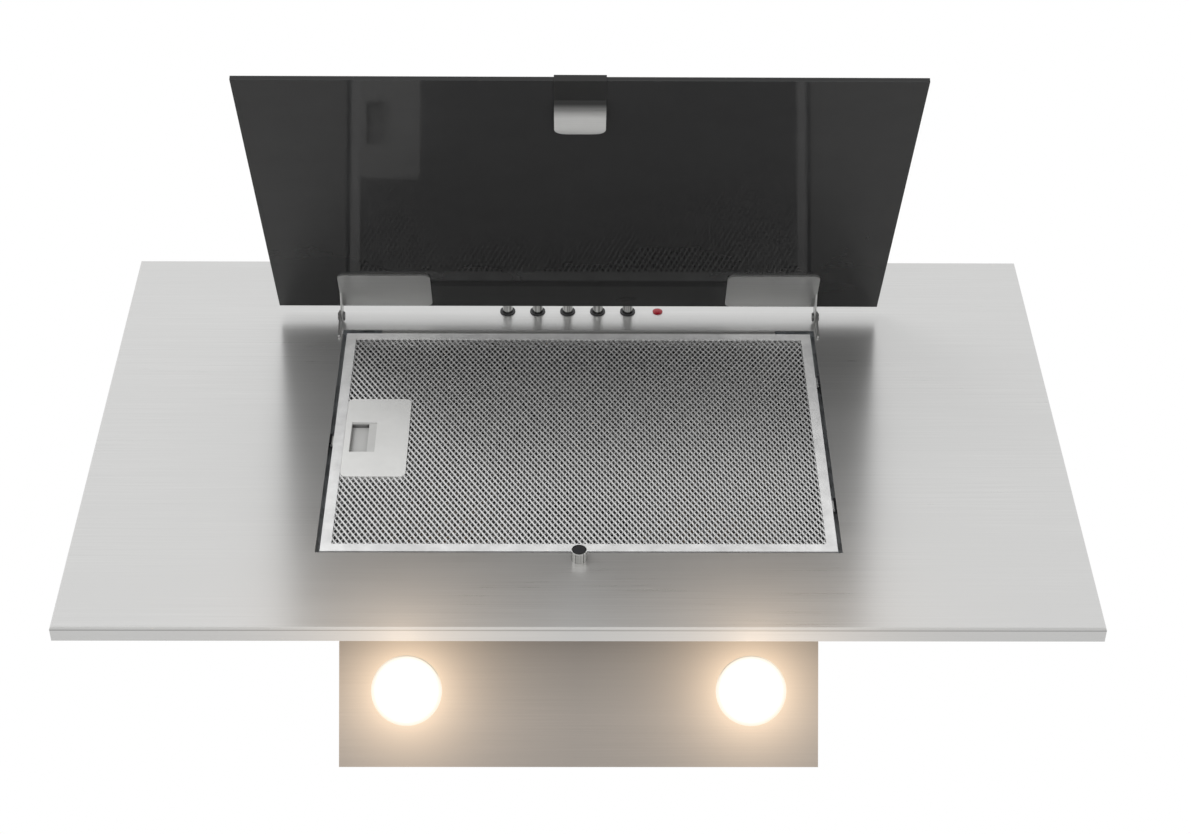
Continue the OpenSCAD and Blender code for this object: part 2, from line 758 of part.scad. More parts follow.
// Gland of the mains lead in the body's top
module cable_gland() {
  color(black) translate([gland_x, gland_y, body_top]) difference() {
    union() {
      translate([0, 0, -sheet_t - 8]) cylinder(h = sheet_t + 9, r = gland_r);
      translate([0, 0, -sheet_t - 5]) cylinder(h = 5, r = gland_r + 3, $fn = 6);
      cylinder(h = 5, r = gland_r + 3.5, $fn = 6);
      translate([0, 0, 5]) cylinder(h = 9, r1 = gland_r + 1.5, r2 = gland_r - 1.5);
    }
    translate([0, 0, -sheet_t - 10]) cylinder(h = 30, r = cable_r);
  }
}

// Switch bank behind the plate, its sockets standing through the plate's holes
module switch_block() {
  color(black) on_plate() difference() {
    union() {
      block([button_at(0) - block_end, button_v - block_half, -block_w0],
        [button_at(button_n - 1) + block_end, button_v + block_half, -plate_t]);
      for (i = [0:button_n - 1]) translate([button_at(i), button_v, -plate_t])
        cylinder(h = plate_t + socket_up, d = socket_d);
    }
    for (i = [0:button_n - 1]) translate([button_at(i), button_v, -button_deep - button_travel - 1])
      cylinder(h = 40, r = button_d / 2 + button_clear);
  }
}

// Push button i, pushed in by sink
module button(i, sink) {
  color(steel) on_plate() translate([button_at(i), button_v, -sink]) rotate_extrude()
    polygon([[0, -button_deep], [button_d / 2, -button_deep], [button_d / 2, button_h - 1],
      [button_d / 2 - 0.3, button_h - 0.3], [button_d / 2 - 1, button_h], [0, button_h]]);
}

// Red lens of the pilot lamp
module pilot_lens() {
  color([0.85, 0.08, 0.08]) on_plate() translate([pilot_x, button_v, 0]) rotate_extrude()
    polygon([[0, -14], [pilot_d / 2 - 1, -14], [pilot_d / 2 - 1, 0], [pilot_d / 2, 0], [pilot_d / 2, 0.8],
      [pilot_d / 2 - 1.2, 1.6], [pilot_d / 4, 2.2], [0, 2.4]]);
}

// Cup that stands on the plate and holds the magnet
module magnet_post() {
  color(steel) on_plate() translate([0, post_v, 0]) rotate_extrude()
    polygon([[0, -8], [2, -8], [2, 0], [post_d / 2, 0], [post_d / 2, post_h - 0.6], [post_d / 2 - 0.6, post_h],
      [magnet_d / 2 + 0.1, post_h], [magnet_d / 2 + 0.1, post_h - magnet_deep], [0, post_h - magnet_deep]]);
}

// Magnet in the post
module magnet_disc() {
  color(black) on_plate() translate([0, post_v, post_h - magnet_deep]) cylinder(h = magnet_deep, d = magnet_d);
}

// Fixed hinge arm, s = 1 on the right; its foot goes through the plate into the tray
module hinge_arm(s) {
  color(steel) on_plate() difference() {
    translate([s * (arm_edge + arm_t / 2), 0, 0]) along_x(arm_t) difference() {
      union() {
        translate([arm_v0, -arm_deep]) square([arm_v1 - arm_v0, arm_deep + 1]);
        polygon([[arm_v0, 0], [pivot_v + ear_r, 0], [pivot_v + ear_r, pivot_w],
          [pivot_v - 3, pivot_w + ear_r * 0.86], [arm_v0, 3]]);
        translate([pivot_v, pivot_w]) circle(ear_r);
      }
      translate([pivot_v, pivot_w]) circle(pin_r);
    }
    arm_holes(arm_edge - eps, tray_in + eps);
  }
}

// Riveted pin that the bracket turns on
module hinge_pin(s) {
  grip = arm_t + ear_gap + bracket_t + 0.2;
  color(steel) on_plate() translate([s * (tray_in - grip), pivot_v, pivot_w]) rotate([0, s * 90, 0]) {
    cylinder(h = grip, r = pin_r);
    translate([0, 0, -1.4]) cylinder(h = 1.4, r1 = pin_head_r - 1.2, r2 = pin_head_r);
    translate([0, 0, grip]) cylinder(h = 1.4, r1 = pin_head_r, r2 = pin_head_r - 1.2);
  }
}

// Screws that hold the arms to the tray's side walls
module arm_screws() {
  color(zinc) on_plate() for (s = [-1, 1], w = arm_screw_w)
    translate([s * arm_edge, (arm_v0 + arm_v1) / 2, w]) rotate([0, s * 90, 0]) {
      cylinder(h = arm_t + wall_t, r = arm_screw_r);
      translate([0, 0, arm_t + wall_t]) cylinder(h = 2, r1 = 3.6, r2 = 2.8);
    }
}

// Black glass panel
module glass_panel() {
  color([0.1, 0.1, 0.11]) on_panel() block([-glass_w / 2, 0, -glass_t], [glass_w / 2, glass_l, 0]);
}

// Bracket glued to the glass, s = 1 on the right, with an ear that turns on the hinge pin
module hinge_bracket(s) {
  color(steel) on_panel() scale([s, 1, 1]) {
    translate([ear_x1 - bracket_w, bracket_d0, 0]) linear_extrude(bracket_t)
      round_rect(bracket_w, bracket_l, 6);
    translate([ear_x1 - bracket_t / 2, 0, 0]) along_x(bracket_t) difference() {
      union() {
        polygon([[bracket_d0 + 6, 0], [ear_l, 0], [14, inner_e + 1],
          [-panel_set + 3, inner_e + ear_r * 0.86], [-panel_set - ear_r + 0.4, inner_e - 2], [bracket_d0, 0]]);
        translate([-panel_set, inner_e]) circle(ear_r);
      }
      translate([-panel_set, inner_e]) circle(pin_r + pin_clear);
    }
  }
}

// Height of the handle strip off the inner face, at u from the free edge
function smooth(q) = let (p = max(0, min(1, q))) p * p * (3 - 2 * p);
function strip_e(u) = (strike_e - handle_t) * smooth((u - strike_u) / strike_rise)
  - tail_drop * pow(max(0, u - handle_l + tail_l) / tail_l, 2);

// Handle and strike: a bent strip clipped round the free edge
module panel_handle() {
  color(steel) on_panel() translate([0, glass_l, 0]) scale([1, -1, 1]) intersection() {
    along_x(handle_w) union() {
      polygon(concat([for (u = [0:1:handle_l]) [u, strip_e(u)]],
        [for (u = [handle_l:-1:0]) [u, strip_e(u) + handle_t]]));
      translate([-handle_t, -glass_t - handle_t]) square([handle_t, glass_t + 2 * handle_t]);
      translate([-handle_t, -glass_t - handle_t]) square([handle_t + 10, handle_t]);
    }
    translate([-handle_w / 2, -handle_t - 20, -20]) linear_extrude(40)
      round_rect(handle_w, handle_l + handle_t + 20, handle_r);
  }
}

// Channel frame of the filter
module filter_frame() {
  color(alu) on_plate() difference() {
    block([-filter_w / 2, filter_v0, filter_back], [filter_w / 2, filter_v1, filter_face]);
    block([-filter_w / 2 + frame_t, filter_v0 + frame_t, filter_back + frame_t],
      [filter_w / 2 - frame_t, filter_v1 - frame_t, filter_face - frame_t]);
    block([-filter_w / 2 + border_w, filter_v0 + border_w, filter_back - eps],
      [filter_w / 2 - border_w, filter_v1 - border_w, filter_face + eps]);
    block([-filter_w / 2 - eps, latch_v - bolt_l / 2 - slide_gap, bolt_w0 - slide_gap],
      [-filter_w / 2 + 2, latch_v + bolt_l / 2 + slide_gap, bolt_w0 + bolt_h + slide_gap]);
  }
}

// Sheet of expanded metal from w0 upwards, in three strips that butt at the ends of the latch's cut-out
module expanded_sheet(w0) {
  wide = filter_w - 2 * border_w;
  long = filter_l - 2 * border_w;
  pitch_x = wide / mesh_cols;
  pitch_v = long / mesh_rows;
  cut_v = latch_l / 2 + fit_gap;
  on_plate() translate([0, 0, w0]) linear_extrude(mesh_t) difference() {
    translate([-filter_w / 2 + frame_t, filter_v0 + frame_t])
      square([filter_w - 2 * frame_t, filter_l - 2 * frame_t]);
    translate([-filter_w / 2, latch_v - cut_v])
      square([border_w + latch_w + 0.1 + fit_gap, 2 * cut_v]);
    for (s = [-1, 1]) translate([-filter_w / 2, latch_v + s * cut_v - butt_gap / 2])
      square([filter_w, butt_gap]);
    for (k = [0, 1], i = [0:mesh_cols - 1 - k], j = [0:mesh_rows - 1 - k]) {
      x = -wide / 2 + (i + (k + 1) / 2) * pitch_x;
      v = filter_v0 + border_w + (j + (k + 1) / 2) * pitch_v;
      if (x - pitch_x / 2 > latch_x1 || abs(v - latch_v) - pitch_v / 2 > cut_v) translate([x, v])
        polygon([[-pitch_x / 2 + strand_w, 0], [0, -pitch_v / 2 + strand_w], [pitch_x / 2 - strand_w, 0],
          [0, pitch_v / 2 - strand_w]]);
    }
  }
}

// Visible sheet of expanded metal, under the frame's front flange
module filter_mesh() {
  color(alu) expanded_sheet(filter_face - frame_t - mesh_t);
}

// Rear sheet of expanded metal
module filter_back_mesh() {
  color(alu) expanded_sheet(filter_back + frame_t);
}

// Latch housing: visible plate with its window, over the pocket of the slide
module filter_latch_plate() {
  color(plastic_grey) on_plate() difference() {
    translate([latch_x0, latch_v - latch_l / 2, filter_back]) linear_extrude(latch_top - filter_back)
      round_rect(latch_w, latch_l, 6);
    block([cup_x0 - 0.3, latch_v - cup_l / 2 - 0.5, slide_w1],
      [cup_x0 + window_w, latch_v + cup_l / 2 + 0.5, eps]);
    block([slide_x0 - slide_gap, latch_v - slide_half - slide_gap, slide_w0 - slide_gap],
      [slide_x1 + latch_travel + slide_gap, latch_v + slide_half + slide_gap, slide_w1 + slide_gap]);
    block([slide_x1, latch_v - spring_r - 0.4, slide_w0 - slide_gap],
      [spring_end, latch_v + spring_r + 0.4, slide_w1 + slide_gap]);
    block([latch_x0 - eps, latch_v - bolt_l / 2 - slide_gap, bolt_w0 - slide_gap],
      [slide_x0, latch_v + bolt_l / 2 + slide_gap, bolt_w0 + bolt_h + slide_gap]);
  }
}

// Slide with its finger cup and bolt
module latch_slide() {
  color(plastic_grey) on_plate() {
    difference() {
      block([slide_x0, latch_v - slide_half, slide_w0], [slide_x1, latch_v + slide_half, slide_w1]);
      block([cup_x0, latch_v - cup_l / 2, slide_w0 + 1], [cup_x0 + cup_w, latch_v + cup_l / 2, eps]);
    }
    block([-filter_w / 2 - bolt_out, latch_v - bolt_l / 2, bolt_w0],
      [slide_x0 + 0.5, latch_v + bolt_l / 2, bolt_w0 + bolt_h]);
  }
}

// Points of a ring of the spring's wire at angle a, climbing along x
function spring_ring(a, len) =
  let (c = [len * a / (360 * spring_turns), spring_r * cos(a), spring_r * sin(a)])
  [for (b = [0:60:300]) c + spring_wire * [sin(b), cos(b) * cos(a), cos(b) * sin(a)]];

// Spring that pushes the slide's bolt out
module latch_spring() {
  len = spring_end - slide_x1 - 2 * spring_wire - 0.2;
  steps = spring_turns * 12;
  pts = [for (k = [0:steps]) each spring_ring(360 * spring_turns * k / steps, len)];
  sides = [for (k = [0:steps - 1], b = [0:5]) let (p = 6 * k + b, q = 6 * k + (b + 1) % 6)
    each [[p, q, q + 6], [p, q + 6, p + 6]]];
  ends = [for (b = [1:4]) each [[0, b + 1, b], [6 * steps, 6 * steps + b, 6 * steps + b + 1]]];
  color(zinc) on_plate() translate([slide_x1 + spring_wire + 0.1, latch_v, (slide_w0 + slide_w1) / 2])
    polyhedron(pts, concat(sides, ends));
}

// Two fixed tabs on the filter's right edge
module filter_catches() {
  color(alu) on_plate() for (v = catch_v)
    block([filter_w / 2, v - bolt_l / 2, bolt_w0],
      [filter_w / 2 + bolt_out, v + bolt_l / 2, bolt_w0 + bolt_h]);
}

// Leaf clip on the tray's wall that hooks in front of a bolt or tab
module keeper_clip(s, v) {
  tip = filter_w / 2 + bolt_out - 1;
  leaf = tray_in - 0.7;
  hook = bolt_w0 + bolt_h;
  color(steel) on_plate() translate([0, v, 0]) rotate([90, 0, 0])
    linear_extrude(bolt_l + 2, center = true) scale([s, 1])
      polygon([[tray_in, seat_top], [tray_in, -plate_t - 0.4], [leaf, -plate_t - 0.4], [tip, hook + 2],
        [tip, hook + 1.4], [tray_in - 1.5, hook + 0.4], [leaf, hook], [leaf, seat_top]]);
}

front_plate();
filter_tray();
switch_housing();
side_sheet(-1);  // side_sheet_left
side_sheet(1);  // side_sheet_right
top_sheet();
foot_sheet();
back_plate();
lamp_panel();
outlet_collar();
collar_screws();
flap_pin();
check_flap(-1, left_knuckles);  // check_flap_left
check_flap(1, right_knuckles);  // check_flap_right
blower_scroll();
impeller();
motor_shaft();
blower_motor();
motor_bracket();
motor_capacitor();
terminal_box();
cable_gland();
lamp_transformer();
lamp_bezel(-1);  // lamp_bezel_left
lamp_bezel(1);  // lamp_bezel_right
lamp_lens(-1);  // lamp_lens_left
lamp_lens(1);  // lamp_lens_right
lamp_reflector(-1);  // lamp_reflector_left
lamp_reflector(1);  // lamp_reflector_right
lamp_bulb(-1);  // lamp_bulb_left
lamp_bulb(1);  // lamp_bulb_right
switch_block();
button(0, button_travel);  // button_1
button(1, 0);  // button_2
button(2, 0);  // button_3
button(3, 0);  // button_4
button(4, 0);  // button_5
pilot_lens();
magnet_post();
magnet_disc();
hinge_arm(-1);  // hinge_arm_left
hinge_arm(1);  // hinge_arm_right
hinge_pin(-1);  // hinge_pin_left
hinge_pin(1);  // hinge_pin_right
arm_screws();
glass_panel();
hinge_bracket(-1);  // hinge_bracket_left
hinge_bracket(1);  // hinge_bracket_right
panel_handle();
filter_frame();
filter_mesh();
filter_back_mesh();
filter_latch_plate();
filter_catches();
latch_slide();
latch_spring();
keeper_clip(-1, latch_v);  // keeper_clip_left
for (v = catch_v) keeper_clip(1, v);  // keeper_clips_right
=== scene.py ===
# Looks of an inclined wall range hood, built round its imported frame
import functools
import json
import math

import bmesh
import bpy
from bpy.props import FloatProperty, FloatVectorProperty, IntProperty, PointerProperty
from mathutils import Matrix, Vector


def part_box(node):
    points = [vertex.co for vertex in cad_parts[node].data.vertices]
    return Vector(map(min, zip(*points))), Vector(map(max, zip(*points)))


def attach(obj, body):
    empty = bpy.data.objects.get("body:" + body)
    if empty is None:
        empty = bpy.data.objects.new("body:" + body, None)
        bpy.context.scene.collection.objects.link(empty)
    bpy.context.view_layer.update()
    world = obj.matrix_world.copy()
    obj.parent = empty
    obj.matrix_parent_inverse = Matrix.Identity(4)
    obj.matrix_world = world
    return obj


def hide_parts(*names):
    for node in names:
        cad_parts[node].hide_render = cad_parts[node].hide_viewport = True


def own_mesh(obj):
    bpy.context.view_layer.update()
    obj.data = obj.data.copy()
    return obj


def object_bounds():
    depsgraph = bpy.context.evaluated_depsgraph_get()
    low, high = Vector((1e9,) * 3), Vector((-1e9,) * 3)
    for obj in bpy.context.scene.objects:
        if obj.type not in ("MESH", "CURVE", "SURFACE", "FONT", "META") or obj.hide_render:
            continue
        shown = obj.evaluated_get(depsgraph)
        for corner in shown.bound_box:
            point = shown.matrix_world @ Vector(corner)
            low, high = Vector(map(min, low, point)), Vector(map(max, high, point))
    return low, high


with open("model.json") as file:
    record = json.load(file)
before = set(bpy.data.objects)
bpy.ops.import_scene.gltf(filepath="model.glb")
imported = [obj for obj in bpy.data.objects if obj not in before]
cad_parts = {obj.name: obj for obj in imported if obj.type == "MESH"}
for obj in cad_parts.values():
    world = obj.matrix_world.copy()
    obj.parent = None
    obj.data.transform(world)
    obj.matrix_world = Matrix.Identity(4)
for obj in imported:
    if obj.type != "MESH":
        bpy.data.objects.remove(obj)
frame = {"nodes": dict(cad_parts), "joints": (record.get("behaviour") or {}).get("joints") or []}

bl_info = {
    "name": "Inclined range hood",
    "version": (1, 0, 0),
    "blender": (4, 5, 0),
    "location": "3D View > Sidebar > Range hood",
    "description": "Finishes, expanded metal and studio of an inclined range hood",
    "category": "Object",
}

CAD_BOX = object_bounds()
JOINTS = {joint["name"]: joint for joint in frame["joints"]}

# The plate frame: x across, v up the slope and w out of the plate, from the panel's hinge axis
HINGE = Vector(JOINTS["panel_hinge"]["pos_m"])
SLOPE_OUT = Vector(JOINTS["filter_lift"]["axis"]).normalized()
SLOPE_UP = Vector((0, SLOPE_OUT.z, -SLOPE_OUT.y))
PLATE = Matrix((
    (1, 0, 0, HINGE.x),
    (0, SLOPE_UP.y, SLOPE_OUT.y, HINGE.y),
    (0, SLOPE_UP.z, SLOPE_OUT.z, HINGE.z),
    (0, 0, 0, 1),
))

# The belt ran along x, leaning a little out of the plate so that a sheet that faces x has a direction too
BRUSHED = Vector((1, 0, 0)) + SLOPE_OUT * 0.1

# Depths behind the plate's face of the fold's dark line and of the darker lip past it, and how much darker
# the lip is: painted shade of the fold and the lip
FOLD_LINE_DEPTH = (0.0019, 0.0031)
FOLD_LINE_SOFT = 0.0003
LIP_DEPTH = (0.0028, 0.0034)
LIP_SHADE = 0.18

# Painted shade on the underside where the plate shelters it: the share of its depth that it reaches, and its
# strength at the plate
SHELTER_SHADE_REACH = 0.7
SHELTER_SHADE_STRENGTH = 0.78

# Where the handle strip is black: where it is fully black and where the black ends, from the panel's free
# edge; the fade over the bend is painted shade
HANDLE_BLACK_FULL = 0.03
HANDLE_BLACK_END = 0.048

# The filter: its frame's wall, how far its cut-out runs past the latch, and how coarse its other layers are
FRAME_WALL = 0.0012
PAST_LATCH = 0.02
BACK_COARSE = 1.5
PAD_COARSE = 1.7
PAD_COARSE_STEP = 0.25
PAD_STRAND = 1.3

# Each lamp's light stands this far below its lens
LAMP_LIGHT_DROP = 0.035
LAMP_LIGHT_RADIUS = 0.02

# The soft light at the left of the hood
KEY_LIGHT_SIZE = 1.4
KEY_LIGHT_PLACE = (-1.0, -2.3, -1.7)

# The photograph's camera, fitted to the plate's four corners; the image is taken as 1191 x 834
IMAGE_WIDTH_PX = 1191
SENSOR_WIDTH_MM = 36.0
CAMERA_FOCAL_PX = 2300.0
CAMERA_YAW = 0.010327
CAMERA_ROLL = -0.0019358
CAMERA_PLACE = Vector((-0.00673, -0.30692, -2.20539))
CAMERA_REACH = 60.0

# Turns a new camera, which looks down, so that it looks up with its foot towards the wall
LOOK_UP = Matrix(((1, 0, 0), (0, -1, 0), (0, 0, -1)))

PLATE_STEEL = ["front_plate"]
BODY_STEEL = ["side_sheet_left", "side_sheet_right", "top_sheet", "foot_sheet"]
HINGE_STEEL = ["hinge_arm_left", "hinge_arm_right", "hinge_bracket_left", "hinge_bracket_right"]
HINGE_PINS = ["hinge_pin_left", "hinge_pin_right"]
ZINC = ["filter_tray", "switch_housing", "back_plate", "blower_scroll", "motor_bracket"]
BLACK_PLASTIC = [
    "outlet_collar", "check_flap_left", "check_flap_right", "impeller",
    "terminal_box", "cable_gland", "lamp_transformer", "switch_block",
]
BUTTONS = ["button_1", "button_2", "button_3", "button_4", "button_5"]

# Colours of the small finishes
HANDLE_STEEL = (0.93, 0.93, 0.92)
# Black of the handle strip's flat part, also its painted shade over the bend
HANDLE_BLACK = (0.012, 0.012, 0.012)
GLASS_EDGE = (0.05, 0.055, 0.055)
SPRING_STEEL = (0.5, 0.5, 0.5)
BLUED_STEEL = (0.1, 0.1, 0.11)
TURNED_STEEL = (0.62, 0.62, 0.61)
GREASED_STEEL = (0.14, 0.14, 0.14)
PLATED_STEEL = (0.6, 0.6, 0.58)
FERRITE = (0.02, 0.02, 0.022)
# Painted sheen at the rim of the pilot lens
PILOT_RIM_SHEEN = (0.9, 0.25, 0.25)
LENS_LIGHT = (1.0, 0.93, 0.82)
LENS_HALO = (1.0, 0.86, 0.68)
LENS_FROST = ((0.86, 0.84, 0.78), (0.93, 0.91, 0.86))
BEZEL_STEEL = (0.62, 0.61, 0.6)
BOWL_PLATING = (0.85, 0.85, 0.83)
BULB_CERAMIC = (0.72, 0.7, 0.64)
MOTOR_PAINT = (0.06, 0.06, 0.065)
CAPACITOR_CAN = (0.68, 0.68, 0.65)
UNLIT = (0.0, 0.0, 0.0)
WHITE = (1.0, 1.0, 1.0, 1.0)

# Where a mix node keeps its two colours and their result, among its sockets of every kind
MIX_LOW = 6
MIX_HIGH = 7
MIX_RESULT = 2


class HoodSizes(bpy.types.PropertyGroup):
    """Sizes of the pieces that are made here"""

    mesh_pitch_x: FloatProperty(
        name="Mesh pitch across", description="Distance between openings of the front mesh across the filter",
        default=0.0053, min=0.003, max=0.02, precision=4, unit="LENGTH",
    )
    mesh_pitch_v: FloatProperty(
        name="Mesh pitch up the slope", description="Length of one opening of the front mesh with its bond",
        default=0.0086, min=0.004, max=0.03, precision=4, unit="LENGTH",
    )
    strand_width: FloatProperty(
        name="Strand width", description="Width of the strands of the front mesh",
        default=0.0013, min=0.0005, max=0.004, precision=4, unit="LENGTH",
    )
    strand_rise: FloatProperty(
        name="Strand rise", description="Height by which the strands stand out of the sheet",
        default=0.0007, min=0.0, max=0.002, precision=4, unit="LENGTH",
    )
    foil_thickness: FloatProperty(
        name="Foil thickness", description="Thickness of the expanded aluminium",
        default=0.0004, min=0.0001, max=0.001, precision=4, unit="LENGTH",
    )
    pad_layers: IntProperty(
        name="Pad layers", description="Layers of coarse expanded foil between the two outer meshes",
        default=1, min=0, max=3,
    )


class HoodColours(bpy.types.PropertyGroup):
    """Colours of the finishes"""

    steel: FloatVectorProperty(
        name="Brushed steel", description="Colour of the front plate",
        default=(0.64, 0.64, 0.635), subtype="COLOR", min=0, max=1,
    )
    # The underside is the plate's stainless steel; its colour is darker and warmer as painted shade and
    # painted warm lamplight
    underside_shaded_lamplit: FloatVectorProperty(
        name="Underside steel", description="Colour of the level underside that carries the lamps",
        default=(0.46, 0.415, 0.378), subtype="COLOR", min=0, max=1,
    )
    zinc: FloatVectorProperty(
        name="Zinc", description="Colour of the galvanised sheets inside",
        default=(0.52, 0.54, 0.56), subtype="COLOR", min=0, max=1,
    )
    aluminium: FloatVectorProperty(
        name="Filter aluminium", description="Colour of the filter's frame and meshes",
        default=(0.70, 0.70, 0.70), subtype="COLOR", min=0, max=1,
    )
    latch: FloatVectorProperty(
        name="Latch plastic", description="Colour of the filter's latch",
        default=(0.72, 0.72, 0.71), subtype="COLOR", min=0, max=1,
    )
    plastic: FloatVectorProperty(
        name="Black plastic", description="Colour of the collar, the fan wheel and the boxes",
        default=(0.018, 0.018, 0.02), subtype="COLOR", min=0, max=1,
    )
    glass: FloatVectorProperty(
        name="Black glass", description="Colour of the panel's coat seen through the glass",
        default=(0.024, 0.024, 0.0245), subtype="COLOR", min=0, max=1,
    )
    pilot: FloatVectorProperty(
        name="Pilot lens", description="Colour of the pilot lamp",
        default=(0.2, 0.003, 0.01), subtype="COLOR", min=0, max=1,
    )
    lamp: FloatVectorProperty(
        name="Lamp light", description="Colour of the light of both lamps",
        default=(1.0, 0.72, 0.46), subtype="COLOR", min=0, max=1,
    )


class HoodStudio(bpy.types.PropertyGroup):
    """Sizes and levels of the studio"""

    floor_drop: FloatProperty(
        name="Floor depth", description="Height of the wall holes above the floor",
        default=2.6, min=2.4, max=4, unit="LENGTH",
    )
    floor_size: FloatProperty(
        name="Floor size", description="Width of the floor",
        default=14.0, min=4, max=40, unit="LENGTH",
    )
    floor_colour: FloatVectorProperty(
        name="Floor", description="Colour of the floor",
        default=(0.82, 0.82, 0.81), subtype="COLOR", min=0, max=1,
    )
    ambient: FloatProperty(
        name="Room light", description="Level of the even light from all round",
        default=0.85, min=0, max=2,
    )
    key_power: FloatProperty(
        name="Key light", description="Power of the large soft light at the left",
        default=36.0, min=0, max=500, unit="POWER",
    )
    lamp_power: FloatProperty(
        name="Lamp power", description="Power of the light that leaves each lamp",
        default=0.25, min=0, max=20, unit="POWER",
    )


def tree_node(tree, kind, values=None, **settings):
    """Adds a node, sets its properties, and sets the sockets that values names."""
    made = tree.nodes.new(kind)
    for name, value in settings.items():
        setattr(made, name, value)
    for name, value in (values or {}).items():
        made.inputs[name].default_value = value
    return made


def node_group(name, inputs, outputs):
    """Wraps a function that fills a shader node group: the first call builds it, later calls give it."""
    def wrap(fill):
        @functools.wraps(fill)
        def give():
            if name in bpy.data.node_groups:
                return bpy.data.node_groups[name]
            group = bpy.data.node_groups.new(name, "ShaderNodeTree")
            for label, value in inputs.items():
                socket = group.interface.new_socket(label, in_out="INPUT", socket_type="NodeSocketFloat")
                socket.default_value = value
            for label in outputs:
                group.interface.new_socket(label, in_out="OUTPUT", socket_type="NodeSocketFloat")
            given = group.nodes.new("NodeGroupInput")
            out = group.nodes.new("NodeGroupOutput")
            fill(group, given.outputs, out.inputs)
            return group
        return give
    return wrap


def combine(tree, operation, first, second):
    """Joins two values, each a socket or a number, with a maths operation."""
    made = tree_node(tree, "ShaderNodeMath", operation=operation)
    for i, part in enumerate((first, second)):
        if isinstance(part, (int, float)):
            made.inputs[i].default_value = part
        else:
            tree.links.new(part, made.inputs[i])
    return made.outputs[0]


def remap(tree, value, source, target=(0.0, 1.0)):
    """Maps a value from the source range to the target range and clamps it."""
    made = tree_node(tree, "ShaderNodeMapRange", {
        "From Min": source[0], "From Max": source[1], "To Min": target[0], "To Max": target[1],
    })
    tree.links.new(value, made.inputs["Value"])
    return made.outputs["Result"]


def spread(tree, mask, low, high):
    """Value that goes from low to high with a mask."""
    return remap(tree, mask, (0.0, 1.0), (low, high))


def band(tree, value, limits, soft):
    """Mask that is high while a value lies between two limits."""
    rising = remap(tree, value, (limits[0] - soft, limits[0] + soft))
    falling = remap(tree, value, (limits[1] - soft, limits[1] + soft), (1.0, 0.0))
    return combine(tree, "MULTIPLY", rising, falling)


def distance_along(tree, direction):
    """Distance along a direction, from the origin."""
    place = tree_node(tree, "ShaderNodeTexCoord")
    run = tree_node(tree, "ShaderNodeVectorMath", operation="DOT_PRODUCT")
    run.inputs[1].default_value = direction
    tree.links.new(place.outputs["Object"], run.inputs[0])
    return run.outputs["Value"]


def noise_on_object(group, per_metre, detail):
    """Noise over the object's own coordinates, as fine along x, y and z as three sockets say."""
    place = tree_node(group, "ShaderNodeTexCoord")
    scale = tree_node(group, "ShaderNodeCombineXYZ")
    for i, socket in enumerate(per_metre):
        group.links.new(socket, scale.inputs[i])
    stretch = tree_node(group, "ShaderNodeVectorMath", operation="MULTIPLY")
    group.links.new(place.outputs["Object"], stretch.inputs[0])
    group.links.new(scale.outputs[0], stretch.inputs[1])
    noise = tree_node(group, "ShaderNodeTexNoise", {"Scale": 1.0, "Detail": detail, "Roughness": 0.6})
    group.links.new(stretch.outputs[0], noise.inputs["Vector"])
    return noise.outputs["Fac"]


@node_group("brushed grain", {"Along": 10.0, "Across": 800.0}, ["Tone", "Height"])
def brushed_grain(group, given, out):
    """Fine lines that run along x, as a grinding belt leaves them."""
    lines = noise_on_object(group, (given["Along"], given["Across"], given["Across"]), detail=3.0)
    finer_along = combine(group, "MULTIPLY", given["Along"], 2.6)
    finer_across = combine(group, "MULTIPLY", given["Across"], 3.1)
    finer = noise_on_object(group, (finer_along, finer_across, finer_across), detail=2.0)
    group.links.new(remap(group, lines, (0.3, 0.7)), out["Tone"])
    group.links.new(combine(group, "ADD", lines, finer), out["Height"])


@node_group("soft marks", {"Per metre": 9.0, "Stretch": 1.0}, ["Mask"])
def soft_marks(group, given, out):
    """Broad, faint clouds such as wiping leaves."""
    finer = combine(group, "MULTIPLY", given["Per metre"], given["Stretch"])
    clouds = noise_on_object(group, (given["Per metre"], finer, finer), detail=4.0)
    group.links.new(remap(group, clouds, (0.38, 0.66)), out["Mask"])


# The colour this edge mask brings in is rubbed wear and a painted highlight along the edges
@node_group("edges worn and lit", {"Radius": 0.001, "Strength": 6.0}, ["Mask"])
def edge_mask_worn_and_lit(group, given, out):
    """High along sharp edges, where a rounded normal turns away from the real one."""
    bevel = tree_node(group, "ShaderNodeBevel", samples=4)
    group.links.new(given["Radius"], bevel.inputs["Radius"])
    surface = tree_node(group, "ShaderNodeNewGeometry")
    agreed = tree_node(group, "ShaderNodeVectorMath", operation="DOT_PRODUCT")
    group.links.new(bevel.outputs["Normal"], agreed.inputs[0])
    group.links.new(surface.outputs["Normal"], agreed.inputs[1])
    turned = combine(group, "SUBTRACT", 1.0, agreed.outputs["Value"])
    strong = combine(group, "MULTIPLY", turned, given["Strength"])
    group.links.new(remap(group, strong, (0.0, 1.0)), out["Mask"])


@node_group("recess shade", {"Reach": 0.006}, ["Mask"])
def recess_shade(group, given, out):
    """Painted shade in deep corners, darkest on the walls that face down the slope."""
    hidden = tree_node(group, "ShaderNodeAmbientOcclusion", samples=8, only_local=True)
    group.links.new(given["Reach"], hidden.inputs["Distance"])
    surface = tree_node(group, "ShaderNodeNewGeometry")
    down = tree_node(group, "ShaderNodeVectorMath", operation="DOT_PRODUCT")
    down.inputs[1].default_value = -SLOPE_UP
    group.links.new(surface.outputs["Normal"], down.inputs[0])
    deep = remap(group, hidden.outputs["AO"], (0.35, 1.0), (1.0, 0.0))
    share = remap(group, down.outputs["Value"], (0.2, 0.9), (0.35, 1.0))
    group.links.new(combine(group, "MULTIPLY", deep, share), out["Mask"])


